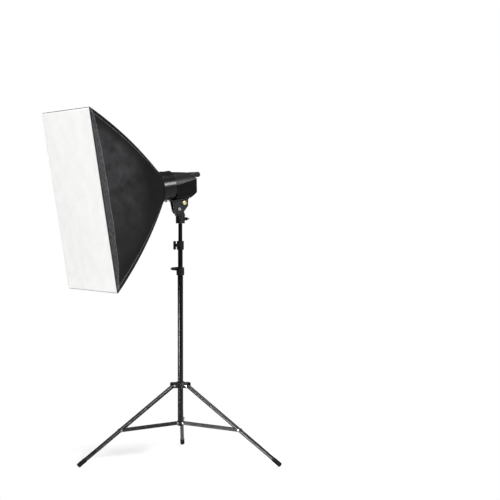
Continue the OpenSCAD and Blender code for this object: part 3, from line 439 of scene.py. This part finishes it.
def wrinkleLift(u, around, side, fromEdge, fromRim, seed):
    # how far the cloth stands off its even surface
    sleeve = smoothStep(wrinkles["sleeveRise"], fromEdge) * smoothStep(wrinkles["sleeveFall"], fromEdge)
    free = smoothStep(wrinkles["edgeFree"], fromEdge) * smoothStep(wrinkles["rimFree"], fromRim)
    acrossGrain, alongGrain = wrinkles["slackGrain"]
    slack = free * noise.noise(Vector((side * acrossGrain, u * alongGrain, seed)))
    crimp = 0.0
    for share, acrossGrain, alongGrain, offset in wrinkles["puckerGrains"]:
        crimp += share * noise.noise(Vector((side * acrossGrain, fromRim * alongGrain, seed + offset)))
    crimp *= smoothStep(wrinkles["puckerFall"], fromRim) * smoothStep(wrinkles["puckerRise"], fromRim)
    pleats = math.sin(around * wrinkles["pleatGrain"] + seed)
    pleats *= smoothStep(wrinkles["pleatFall"], u) * smoothStep(wrinkles["pleatRise"], u)
    return (wrinkles["sleeve"] * sleeve + wrinkles["slack"] * slack + wrinkles["pucker"] * crimp
            + wrinkles["pleat"] * pleats)


def clothSpot(u, v, half, facing, seed):
    # u runs from the ring to the rim, and v from one sewn edge at -1 to the other at 1
    forward, radius = cornerLine(u)
    rounding = (1.0 - u) ** shell["rounding"]    # round at the ring, flat at the rim
    side = radius * (rounding * math.sin(half * v) + (1.0 - rounding) * math.sin(half) * v)
    out = radius * (rounding * math.cos(half * v) + (1.0 - rounding) * math.cos(half))
    slope = math.atan2((shell["cornerR"] - shell["backR"]) * math.cos(half), shell["run"])
    slant = shell["run"] / math.cos(slope)
    fromEdge = (1.0 - abs(v)) * radius * (rounding * half + (1.0 - rounding) * math.sin(half))
    fromRim = (1.0 - u) * slant
    fromCrease = (u - creaseAt(v)) * slant
    lift = wrinkleLift(u, v * half * shell["backR"], side, fromEdge, fromRim, seed)
    lift -= shell["sag"] * lipShape(u, v)
    out += lift * math.cos(slope)
    forward -= lift * math.sin(slope)
    turn = facing - math.pi / 2
    x = side * math.cos(turn) - out * math.sin(turn)
    y = side * math.sin(turn) + out * math.cos(turn)
    return Vector((x, y, forward)), side, fromEdge, fromRim, fromCrease


def makePanel(name, node, half, facing, seed):
    bm, uvLayer = startCloth(shell)
    edgeLayer = bm.verts.layers.float.new("edgeDistance")
    creaseLayer = bm.verts.layers.float.new("creaseDistance")
    lipLayer = bm.verts.layers.float.new("lipShare")
    dustAndSheenLayer = bm.verts.layers.float.new("dustAndSheen")
    flat = {}
    for vert in bm.verts:
        u = (vert.co.y + 1.0) / 2.0
        v = shell["bunch"] * math.sin(vert.co.x * math.pi / 2) + (1.0 - shell["bunch"]) * vert.co.x
        spot, side, fromEdge, fromRim, fromCrease = clothSpot(u, v, half, facing, seed)
        flat[vert] = (side * mm, -fromRim * mm)
        vert[edgeLayer] = fromEdge * mm
        vert[creaseLayer] = fromCrease * mm
        vert[lipLayer] = smoothStep(lipFade, fromCrease)
        # painted sheen by height, times painted shade by the seams and the ring
        sheenByHeight = dustAndSheen["least"] + (1.0 - dustAndSheen["least"]) * smoothStep(dustAndSheen["height"], spot.y)
        vert[dustAndSheenLayer] = sheenByHeight * smoothStep(dustAndSheen["fromEdge"], fromEdge) * smoothStep(dustAndSheen["length"], u)
        vert.co = inScene(*spot)
    layFlat(bm, uvLayer, flat)
    bmesh.ops.recalc_face_normals(bm, faces=bm.faces[:])
    middle = inScene(0.0, 0.0, shell["backF"])
    if sum((f.calc_center_median() - middle).dot(f.normal) for f in bm.faces) < 0:
        bmesh.ops.reverse_faces(bm, faces=bm.faces[:])
    area = sum(f.calc_area() for f in bm.faces)
    piece = finishPiece(bm, name, "softbox", "shellNylon", [node], "silverLining")
    wall = addWall(piece, shell["thick"], -1.0)
    wall.material_offset = 1
    wall.material_offset_rim = 0
    return piece, area


slantHalf = math.pi / 2 - shell["cornerAngle"]
panelPlan = {    # name: the CAD panel, half angle, which way it faces
    "shell_top": ("panel_top", slantHalf, math.pi / 2),
    "shell_bottom": ("panel_bottom", slantHalf, -math.pi / 2),
    "shell_right": ("panel_right", shell["cornerAngle"], 0.0),
    "shell_left": ("panel_left", shell["cornerAngle"], math.pi),
}
for index, (name, (node, half, facing)) in enumerate(panelPlan.items()):
    makePanel(name, node, half, facing, shell["seedStep"] * index + shell["seed"])


# Bound seams: a thin folded tape over each corner and round the front rim
binding = {"corner": 1.7, "rim": 2.2, "sides": 8,              # radii in mm
           "steps": 48, "start": 0.012, "share": 0.982,        # along a corner, in shares of its length
           "rimInset": 1.2, "rimBack": 0.4, "rimTurn": 7.0,    # mm; the tape turns a corner on that radius
           "turnSteps": 6}


def sweepTape(bm, spots, radius, closed):
    # a round section carried along a line of spots, one bridged stretch at a time
    count = len(spots)
    first = None
    ring = None
    for i, spot in enumerate(spots):
        ahead = spots[(i + 1) % count] if closed or i + 1 < count else spot
        behind = spots[i - 1] if closed or i > 0 else spot
        along = (ahead - behind).normalized()
        place = Matrix.Translation(spot) @ along.to_track_quat("Z", "X").to_matrix().to_4x4()
        made = bmesh.ops.create_circle(bm, cap_ends=not closed and i in (0, count - 1),
                                       segments=binding["sides"], radius=radius * mm, matrix=place)
        edges = [e for e in bm.edges if e.verts[0] in made["verts"] and e.verts[1] in made["verts"]]
        if ring:
            bmesh.ops.bridge_loops(bm, edges=ring + edges)
        else:
            first = edges
        ring = edges
    if closed:
        bmesh.ops.bridge_loops(bm, edges=ring + first)


def makeCornerSeams(spec):
    bm = bmesh.new()
    for quarter in cornerAngles:
        spots = []
        for step in range(spec["steps"] + 1):
            forward, radius = cornerLine(spec["start"] + spec["share"] * step / spec["steps"])
            spots.append(inScene(radius * math.cos(quarter), radius * math.sin(quarter), forward))
        sweepTape(bm, spots, spec["corner"], False)
    bmesh.ops.recalc_face_normals(bm, faces=bm.faces[:])
    return finishPiece(bm, "corner_seams", "softbox", "bindingTape")


def makeRimBinding(spec):
    bm = bmesh.new()
    turn = spec["rimTurn"]
    wide = shell["halfWide"] - spec["rimInset"] - turn
    tall = shell["halfTall"] - spec["rimInset"] - turn
    spots = []
    for cx, cy, start in ((1, 1, 0.0), (-1, 1, 0.5), (-1, -1, 1.0), (1, -1, 1.5)):    # start in half turns
        for step in range(spec["turnSteps"] + 1):
            angle = (start + 0.5 * step / spec["turnSteps"]) * math.pi
            x = cx * wide + turn * math.cos(angle)
            y = cy * tall + turn * math.sin(angle)
            spots.append(inScene(x, y, shell["frontF"] - spec["rimBack"]))
    sweepTape(bm, spots, spec["rim"], True)
    bmesh.ops.recalc_face_normals(bm, faces=bm.faces[:])
    return finishPiece(bm, "rim_binding", "softbox", "bindingTape")


cornerSeams = makeCornerSeams(binding)
rimBinding = makeRimBinding(binding)

# The front diffuser: white cloth pulled flat, with the creases of its packing folds
diffuser = {
    "inset": 1.5, "thick": 0.8, "across": 100, "along": 140,
    "crown": 1.5, "pinned": (0.0, 30.0),                           # mm, and how far from the rim it is free
    "folds": 1.1, "foldWide": 9.0,                                 # mm
    "foldsAcross": (-0.5, 0.0, 0.5), "foldsUpright": (0.0,),       # shares of the half height and half width
    "tension": 1.0, "rays": 14.0, "rayFall": (150.0, 20.0), "rayRise": (0.0, 25.0),    # pulls at the corners
    "ripple": 0.5, "rippleGrain": (0.02, 0.012), "seed": 4.0,
}


def makeDiffuser(spec):
    bm, uvLayer = startCloth(spec)
    flat = {}
    wide, tall = diffuserHigh.x - spec["inset"], diffuserHigh.y - spec["inset"]
    acrossGrain, alongGrain = spec["rippleGrain"]
    for vert in bm.verts:
        px, py = vert.co.x, vert.co.y
        x, y = px * wide, py * tall
        fromRim = min(wide - abs(x), tall - abs(y))
        free = smoothStep(spec["pinned"], fromRim)
        lift = spec["crown"] * (1.0 - px * px) * (1.0 - py * py)
        for share in spec["foldsAcross"]:
            lift += spec["folds"] * free * math.exp(-(((y - share * tall) / spec["foldWide"]) ** 2))
        for share in spec["foldsUpright"]:
            lift -= spec["folds"] * free * math.exp(-(((x - share * wide) / spec["foldWide"]) ** 2))
        corner = Vector((abs(x) - wide, abs(y) - tall))
        rays = math.sin(math.atan2(-corner.y, -corner.x) * spec["rays"])
        rays *= smoothStep(spec["rayFall"], corner.length) * smoothStep(spec["rayRise"], fromRim)
        lift += spec["tension"] * rays
        lift += spec["ripple"] * free * noise.noise(Vector((x * acrossGrain, y * alongGrain, spec["seed"])))
        flat[vert] = (x * mm, y * mm)
        vert.co = inScene(x, y, diffuserHigh.z + lift)
    layFlat(bm, uvLayer, flat)
    piece = finishPiece(bm, "diffuser_cloth", "softbox", "diffuserNylon",
                        ["front_diffuser"])
    addWall(piece, spec["thick"], 1.0)
    return piece, (2 * wide * mm, 2 * tall * mm)


diffuserCloth, diffuserFlat = makeDiffuser(diffuser)

# The inner baffle: a smaller white sheet on four straps, half way along the rods
baffleLow, baffleHigh = headBox("inner_baffle")
baffle = {
    "middle": (baffleLow.z + baffleHigh.z) / 2,      # mm, along the axis
    "halfWide": 135.0, "halfTall": 190.0, "thick": 0.8, "across": 40, "along": 56,
    "sag": 2.5, "pull": 0.035,                       # its edges curve in between the strapped corners
    "ripple": 0.8, "rippleGrain": (0.02, 0.015), "seed": 7.0,
    "strapHalf": 8.0, "strapThick": 1.2, "strapSlack": 4.0, "strapCuts": 8,
    "rodInset": 9.0, "strapLap": 14.0,               # from the seam to the rod, and onto the cloth
}


def makeBaffle(spec):
    bm, uvLayer = startCloth(spec)
    flat = {}
    acrossGrain, alongGrain = spec["rippleGrain"]
    for vert in bm.verts:
        px, py = vert.co.x, vert.co.y
        pull = spec["pull"] * (px * px + py * py - px * px * py * py)
        x = px * spec["halfWide"] * (1.0 - pull * (1.0 - py * py))
        y = py * spec["halfTall"] * (1.0 - pull * (1.0 - px * px))
        ripple = noise.noise(Vector((x * acrossGrain, y * alongGrain, spec["seed"])))
        lift = spec["sag"] * (1.0 - px * px) * (1.0 - py * py)
        lift += spec["ripple"] * ripple * (1.0 - px * px * py * py)
        flat[vert] = (x * mm, y * mm)
        vert.co = inScene(x, y, spec["middle"] + lift)
    layFlat(bm, uvLayer, flat)
    area = sum(f.calc_area() for f in bm.faces)
    piece = finishPiece(bm, "baffle_cloth", "softbox", "diffuserNylon", ["inner_baffle"])
    addWall(piece, spec["thick"], 0.0)
    return piece, area


def makeBaffleStraps(spec):
    bm = bmesh.new()
    radius = cornerLine((spec["middle"] - shell["backF"]) / shell["run"])[1]
    start = math.hypot(spec["halfWide"], spec["halfTall"]) - spec["strapLap"]
    length = radius - spec["rodInset"] - start
    stretched = Matrix.Diagonal((length, 2 * spec["strapHalf"], spec["strapThick"], 1.0))
    for quarter in cornerAngles:
        earlier = len(bm.verts)
        made = bmesh.ops.create_cube(bm, size=1.0)["verts"]
        bmesh.ops.transform(bm, matrix=stretched, verts=made)
        lengthwise = [e for e in bm.edges
                      if e.verts[0] in made and abs(e.verts[0].co.x - e.verts[1].co.x) > length / 2]
        bmesh.ops.subdivide_edges(bm, edges=lengthwise, cuts=spec["strapCuts"])
        bm.verts.ensure_lookup_table()
        strip = bm.verts[earlier:]
        for vert in strip:
            along = vert.co.x / length
            vert.co.z -= spec["strapSlack"] * (0.25 - along * along)    # nothing at the ends
        out = Vector((math.cos(quarter), math.sin(quarter), 0.0))
        place = Matrix.Translation(out * (start + length / 2) + Vector((0, 0, spec["middle"])))
        turned = Matrix.Rotation(quarter, 4, "Z")
        bmesh.ops.transform(bm, matrix=Matrix.Scale(mm, 4) @ place @ turned, verts=strip)
    bmesh.ops.transform(bm, matrix=headFrame, verts=bm.verts[:])
    bmesh.ops.recalc_face_normals(bm, faces=bm.faces[:])
    return finishPiece(bm, "baffle_straps", "softbox", "whiteStrap")


baffleCloth, baffleArea = makeBaffle(baffle)
baffleStraps = makeBaffleStraps(baffle)

# The rear hem: elastic gathered round the speed ring
hemLow, hemHigh = headBox("rear_hem")
hem = {"inner": 62.7, "thick": 1.6, "turns": 176, "sides": 12,              # mm, and counts of the mesh
       "gathers": 44, "depth": 0.9, "uneven": 0.7, "unevenTurns": 9.0,      # gathers crowd a little
       "merge": 0.001}


def makeHem(spec):
    bm = bmesh.new()
    middle = (hemLow.z + hemHigh.z) / 2
    tall = (hemHigh.z - hemLow.z) / 2
    mean = (hemHigh.x + spec["inner"]) / 2
    section = bmesh.ops.create_circle(bm, segments=spec["sides"], radius=1.0)["verts"]
    for vert in section:
        vert.co = Vector((mean + vert.co.x * spec["thick"], 0.0, middle + vert.co.y * tall))
    edges = bm.edges[:]
    bmesh.ops.spin(bm, geom=section + edges, cent=(0, 0, 0), axis=(0, 0, 1), angle=2 * math.pi,
                   steps=spec["turns"], use_merge=True)
    bmesh.ops.remove_doubles(bm, verts=bm.verts[:], dist=spec["merge"])
    for vert in bm.verts:
        angle = math.atan2(vert.co.y, vert.co.x)
        radius = math.hypot(vert.co.x, vert.co.y)
        crowding = spec["uneven"] * math.sin(angle * spec["unevenTurns"])
        gather = 0.5 + 0.5 * math.sin(angle * spec["gathers"] + crowding)
        share = 1.0 + spec["depth"] * gather / radius if radius > mean else 1.0
        vert.co.x *= share
        vert.co.y *= share
    bmesh.ops.transform(bm, matrix=headFrame @ Matrix.Scale(mm, 4), verts=bm.verts[:])
    bmesh.ops.recalc_face_normals(bm, faces=bm.faces[:])
    finishPiece(bm, "rear_elastic", "softbox", "elasticHem", ["rear_hem"])


makeHem(hem)
print("softbox cloth made")


# Hard pieces: each solid of the frame with its edges broken as a moulder or a turner leaves them
edgeBreaks = {    # finish and slot: the nodes that take them, each with its edge radius in mm
    ("mouldedNylon", "moulded_black"): {
        "brace_hub": 0.8, "leg_collar": 0.8, "column_plug": 0.6, "lower_clamp": 0.9, "upper_clamp": 0.9,
        "lower_clamp_knob": 1.0, "upper_clamp_knob": 1.0, "collar_knob": 1.0, "adapter_knob": 1.0},
    ("zincSteel", "steel"): {"leg_pins": 0.5, "hub_pins": 0.4, "spigot": 0.4},
    ("mouldedRubber", "rubber_black"): {"foot_front": 1.2, "foot_left": 1.2, "foot_right": 1.2},
    ("paintedSteel", "bar_black"): {"brace_front": 0.3, "brace_left": 0.3, "brace_right": 0.3},
    ("enamelledSteel", "tube_black"): {"column_lower": 0.25, "column_middle": 0.25, "column_upper": 0.25,
                                       "leg_front": 0.3, "leg_left": 0.3, "leg_right": 0.3},
    ("powderCoat", "bracket_metal"): {"stand_adapter": 0.9, "head_bracket": 0.7},
    ("dullZinc", "steel"): {"pivot_bolt": 0.6},
    ("turnedBrass", "brass"): {"lock_bolt": 0.6, "lock_nut": 0.5},
    ("polishedAbs", "head_gloss"): {"mount_collar": 1.2, "carry_handle": 1.6},
    ("satinAbs", "head_gloss"): {"housing_upper": 1.6},
    ("shadeDarkenedAbs", "head_gloss"): {"housing_lower": 1.4},
    ("greyAcetal", "release_grey"): {"mount_release": 0.7},
    ("etchedAbs", "panel_black"): {"control_panel": 0.5, "power_dial": 0.8, "lamp_switch": 0.6,
                                   "fuse_holder": 0.6, "power_inlet": 0.5},
    ("blackScrew", "screw_black"): {"panel_screws": 0.3},
    ("redPolycarbonate", "switch_red"): {"power_switch": 0.6, "test_button": 0.6},
    ("redPolycarbonate", "sensor_red"): {"slave_sensor": 0.5},
    ("greenPolycarbonate", "lamp_green"): {"ready_lamp": 0.5},
    ("nickelPlate", "socket_metal"): {"sync_socket": 0.4},
    ("maskedBoard", "board_green"): {"circuit_board": 0.15},
    ("shrinkSleeve", "can_blue"): {"capacitor": 0.8},
    ("brightAluminium", "reflector_bright"): {"reflector_pan": 0.3},
    ("anodisedAluminium", "ring_metal"): {"speed_ring": 0.6},
    ("springSteel", "rod_steel"): {"rods": 0.3},
}
edgeWork = {"merge": 0.002, "flat": 0.6, "sharp": 34.0, "smooth": 38.0, "segments": 2}    # mm and degrees
rivetHead = {"tall": 1.75}    # mm, a little less than a head stands out of its bar
dialScale = {"ticks": 10, "sweep": 270.0,                                  # degrees
             "gap": 0.9, "long": 2.4, "wide": 0.7, "tall": 0.12}           # mm
dialPointer = {"shallow": 0.5, "deep": 3.0,    # mm below the dial's face, either side of its groove's floor
               "level": 0.99}                  # least cosine to the dial's axis
bodyOf = {node: body for body, members in frame["record"]["behaviour"]["bodies"].items() for node in members}


def markRivets(bm, joint):
    # the outermost faces across the bars are the rivet heads
    spot, axis = Vector(joint["pos_m"]), Vector(joint["axis"]).normalized()
    outside = max(abs((v.co - spot).dot(axis)) for v in bm.verts)
    for face in bm.faces:
        if abs((face.calc_center_median() - spot).dot(axis)) > outside - rivetHead["tall"] * mm:
            face.material_index = 1


def rearward(joint):
    axis = Vector(joint["axis"]).normalized()
    return -axis if axis.dot(headForward) > 0 else axis


def printScale(bm, joint):
    # ticks of ink on the panel, clockwise round the dial from where its pointer rests
    spot, out = Vector(joint["pos_m"]), rearward(joint)
    up = (headUp - out * headUp.dot(out)).normalized()
    side = up.cross(out)
    level = max((v.co - spot).dot(out) for v in bm.verts)
    dialR = max((v.co - spot).cross(out).length for v in nodes["power_dial"].data.vertices)
    size = Matrix.Diagonal((dialScale["wide"] * mm, dialScale["long"] * mm, dialScale["tall"] * mm, 1.0))
    for step in range(dialScale["ticks"]):
        angle = math.radians(dialScale["sweep"]) * step / (dialScale["ticks"] - 1)
        away = up * math.cos(angle) + side * math.sin(angle)
        turned = Matrix((away.cross(out), away, out)).transposed().to_4x4()
        middle = spot + out * level + away * (dialR + (dialScale["gap"] + dialScale["long"] / 2) * mm)
        made = bmesh.ops.create_cube(bm, size=1.0, matrix=Matrix.Translation(middle) @ turned @ size)["verts"]
        for face in {face for vert in made for face in vert.link_faces}:
            face.material_index = 1


def inkPointer(bm, joint):
    # the floor of the dial's groove is filled with ink
    spot, out = Vector(joint["pos_m"]), rearward(joint)
    top = max((v.co - spot).dot(out) for v in bm.verts)
    for face in bm.faces:
        level = face.normal.dot(out) > dialPointer["level"]
        sunk = (top - (face.calc_center_median() - spot).dot(out)) / mm
        if level and dialPointer["shallow"] < sunk < dialPointer["deep"]:
            face.material_index = 1


# node: what marks its second finish, the joint that places it, that finish
trims = {}
for brace in ("brace_front", "brace_left", "brace_right"):
    trims[brace] = (markRivets, brace + "_swing", "zincSteel")
trims["control_panel"] = (printScale, "dial_turn", "printingInk")
trims["power_dial"] = (inkPointer, "dial_turn", "printingInk")


def dressNode(node, finish, edge):
    bm = bmesh.new()
    bm.from_mesh(nodes[node].data)
    bmesh.ops.remove_doubles(bm, verts=bm.verts[:], dist=edgeWork["merge"] * mm)
    bmesh.ops.dissolve_limit(bm, angle_limit=math.radians(edgeWork["flat"]), verts=bm.verts[:],
                             edges=bm.edges[:])
    sharpest = math.radians(edgeWork["sharp"])
    sharp = [e for e in bm.edges if len(e.link_faces) == 2 and e.calc_face_angle(0.0) > sharpest]
    bmesh.ops.bevel(bm, geom=sharp, offset=edge * mm, offset_type="OFFSET", affect="EDGES",
                    segments=edgeWork["segments"], profile=0.5, material=-1, clamp_overlap=True)
    for layer in bm.loops.layers.uv.values():
        bm.loops.layers.uv.remove(layer)
    mark, joint, second = trims.get(node, (None, None, None))
    if mark:
        mark(bm, joints[joint])
    piece = finishPiece(bm, node + "_finished", bodyOf[node], finish, [node], second)
    kept = piece.data.attributes.get("custom_normal")
    if kept:
        piece.data.attributes.remove(kept)
    piece.data.set_sharp_from_angle(angle=math.radians(edgeWork["smooth"]))
    even = piece.modifiers.new("evenShading", "WEIGHTED_NORMAL")    # wide faces rule over the broken edges
    even.mode = "FACE_AREA"
    even.keep_sharp = True


for (finish, slot), members in edgeBreaks.items():
    for node, edge in members.items():
        dressNode(node, finish, edge)
for node in ("flash_tube", "modelling_lamp"):
    nodes[node].data.materials.clear()
    nodes[node].data.materials.append(finishes["quartzGlass"])
print("hard pieces finished:", sum(len(members) for members in edgeBreaks.values()))

# Floor, backdrop and lights
studio = {    # lengths in metres
    "floorSize": 40.0, "floorWhite": "fbfbfb", "backWhite": "ffffff",
    "fadeFrom": 0.2, "fadeTo": 0.72,                   # from the column, where the floor meets the white
    "paperFrom": -6.5, "paperTo": -1.2,                # the white starts this far ahead of the column
    "farFrom": 12.0, "farTo": 19.0,                    # and ends this far from it
    "backAway": 18.5, "backSize": (8.0, 5.0),          # the backdrop, from the camera
    "backFade": 0.74,                                  # share of its size where it starts to fade
    "ambient": 0.2,
}
lamps = {    # place, what it points at, width and height in metres, power in watts, spread in degrees
    "keyLamp": ((0.3, -3.4, 2.6), (0.0, -0.1, 0.8), (1.6, 1.0), 75.0, 180.0),
    "lowLamp": ((0.85, -3.2, 0.26), (0.0, 0.0, 0.2), (1.7, 0.34), 2.4, 17.0),    # gridded, for the column
    "legLamp": ((4.5, 0.8, 2.5), (0.0, -0.22, 0.05), (1.3, 0.9), 1.8, 10.0),     # gridded too, for the legs
    "sideLamp": ((4.3, 1.8, 2.55), (0.0, -0.1, 0.8), (1.0, 1.1), 170.0, 180.0),
    "topLamp": ((1.0, -0.5, 3.6), (0.0, -0.1, 0.8), (1.3, 1.3), 85.0, 180.0),
}


def startStage(name):
    material = bpy.data.materials.new(name)
    material.use_nodes = True
    tree = material.node_tree
    tree.nodes.clear()
    return material, tree, addNode(tree, "TexCoord").outputs["Object"]


def stagePlane(name, place, material, turn, size):
    bm = bmesh.new()
    stretch = Matrix.Diagonal((size[0] / 2, size[1] / 2, 1.0, 1.0))
    bmesh.ops.create_grid(bm, x_segments=4, y_segments=4, size=1.0, matrix=turn @ stretch)
    bmesh.ops.translate(bm, vec=place, verts=bm.verts[:])
    mesh = bpy.data.meshes.new(name)
    bm.to_mesh(mesh)
    bm.free()
    mesh.materials.append(material)
    plane = bpy.data.objects.new(name, mesh)
    scene.collection.objects.link(plane)


def makeFloor(spec):
    # white paint near the stand, where it takes the shadow, passing into the plain white of the backdrop
    material, tree, where = startStage("paintedFloor")
    reach = addNode(tree, "VectorMath", {0: where}, operation="LENGTH").outputs["Value"]
    fade = addNode(tree, "MapRange", {"Value": reach, "From Min": spec["fadeFrom"],
                                      "From Max": spec["fadeTo"]}, interpolation_type="SMOOTHSTEP")
    path = addNode(tree, "LightPath").outputs
    seen = addNode(tree, "Math", {0: path["Is Camera Ray"], 1: path["Is Glossy Ray"]}, operation="MAXIMUM")
    shown = addNode(tree, "Math", {0: seen, 1: path["Is Transmission Ray"]}, operation="MAXIMUM")
    share = addNode(tree, "Math", {0: fade, 1: shown}, operation="MULTIPLY")
    paint = addNode(tree, "BsdfDiffuse", {"Color": hexColour(spec["floorWhite"])})
    behind = addNode(tree, "VectorMath", {0: where, 1: (*photoCamera["heading"], 0.0)},
                     operation="DOT_PRODUCT").outputs["Value"]
    dim = addNode(tree, "MapRange", {"Value": behind, "From Min": spec["paperFrom"],
                                     "From Max": spec["paperTo"], "To Min": spec["ambient"]},
                  interpolation_type="SMOOTHSTEP")
    far = addNode(tree, "MapRange", {"Value": reach, "From Min": spec["farFrom"], "From Max": spec["farTo"],
                                     "To Min": 1.0, "To Max": spec["ambient"]},
                  interpolation_type="SMOOTHSTEP")
    level = addNode(tree, "Math", {0: dim, 1: far}, operation="MINIMUM")
    white = addNode(tree, "Emission", {"Color": hexColour(spec["backWhite"]), "Strength": level})
    mix = addNode(tree, "MixShader", {"Fac": share, 1: paint, 2: white})
    addNode(tree, "OutputMaterial", {"Surface": mix})
    stagePlane("studioFloor", (0.0, 0.0, 0.0), material, Matrix(), (spec["floorSize"], spec["floorSize"]))


def makeBackdrop(spec):
    # lit white paper that the dark outlines stand against, fading into the room at its sides and its top
    material, tree, where = startStage("litPaper")
    heading = Vector((*photoCamera["heading"], 0.0)).normalized()
    upright = (-heading).to_track_quat("Z", "Y").to_matrix().to_4x4()
    wide, tall = spec["backSize"]
    middle = Vector(photoCamera["place"]) + heading * spec["backAway"]
    middle.z = tall / 2
    across = addNode(tree, "VectorMath", {0: where, 1: (heading.y, -heading.x, 0.0)},
                     operation="DOT_PRODUCT").outputs["Value"]
    off = addNode(tree, "Math", {0: across, 1: middle.x * heading.y - middle.y * heading.x},
                  operation="SUBTRACT")
    side = addNode(tree, "Math", {0: off}, operation="ABSOLUTE")
    sideShare = addNode(tree, "Math", {0: side, 1: wide / 2}, operation="DIVIDE")
    height = addNode(tree, "SeparateXYZ", {"Vector": where}).outputs["Z"]
    topShare = addNode(tree, "Math", {0: height, 1: tall}, operation="DIVIDE")
    share = addNode(tree, "Math", {0: sideShare, 1: topShare}, operation="MAXIMUM")
    clear = addNode(tree, "MapRange", {"Value": share, "From Min": spec["backFade"]},
                    interpolation_type="SMOOTHSTEP")
    white = addNode(tree, "Emission", {"Color": hexColour(spec["backWhite"]), "Strength": 1.0})
    nothing = addNode(tree, "BsdfTransparent")
    mix = addNode(tree, "MixShader", {"Fac": clear, 1: white, 2: nothing})
    addNode(tree, "OutputMaterial", {"Surface": mix})
    stagePlane("backdrop", middle, material, upright, (wide, tall))


def makeWorld(spec):
    world = bpy.data.worlds.new("dimStudio")
    scene.world = world
    world.use_nodes = True
    room = world.node_tree.nodes["Background"]
    room.inputs["Color"].default_value = hexColour(spec["backWhite"])
    room.inputs["Strength"].default_value = spec["ambient"]


def makeLamp(name, place, target, size, power, spread):
    data = bpy.data.lights.new(name, "AREA")
    data.shape = "RECTANGLE"
    data.size, data.size_y = size
    data.energy = power
    data.spread = math.radians(spread)
    lamp = bpy.data.objects.new(name, data)
    lamp.location = place
    aim = Vector(target) - Vector(place)
    lamp.rotation_euler = aim.to_track_quat("-Z", "Y").to_euler()
    scene.collection.objects.link(lamp)


makeFloor(studio)
makeBackdrop(studio)
makeWorld(studio)
for name, plan in lamps.items():
    makeLamp(name, *plan)
print("studio lit")
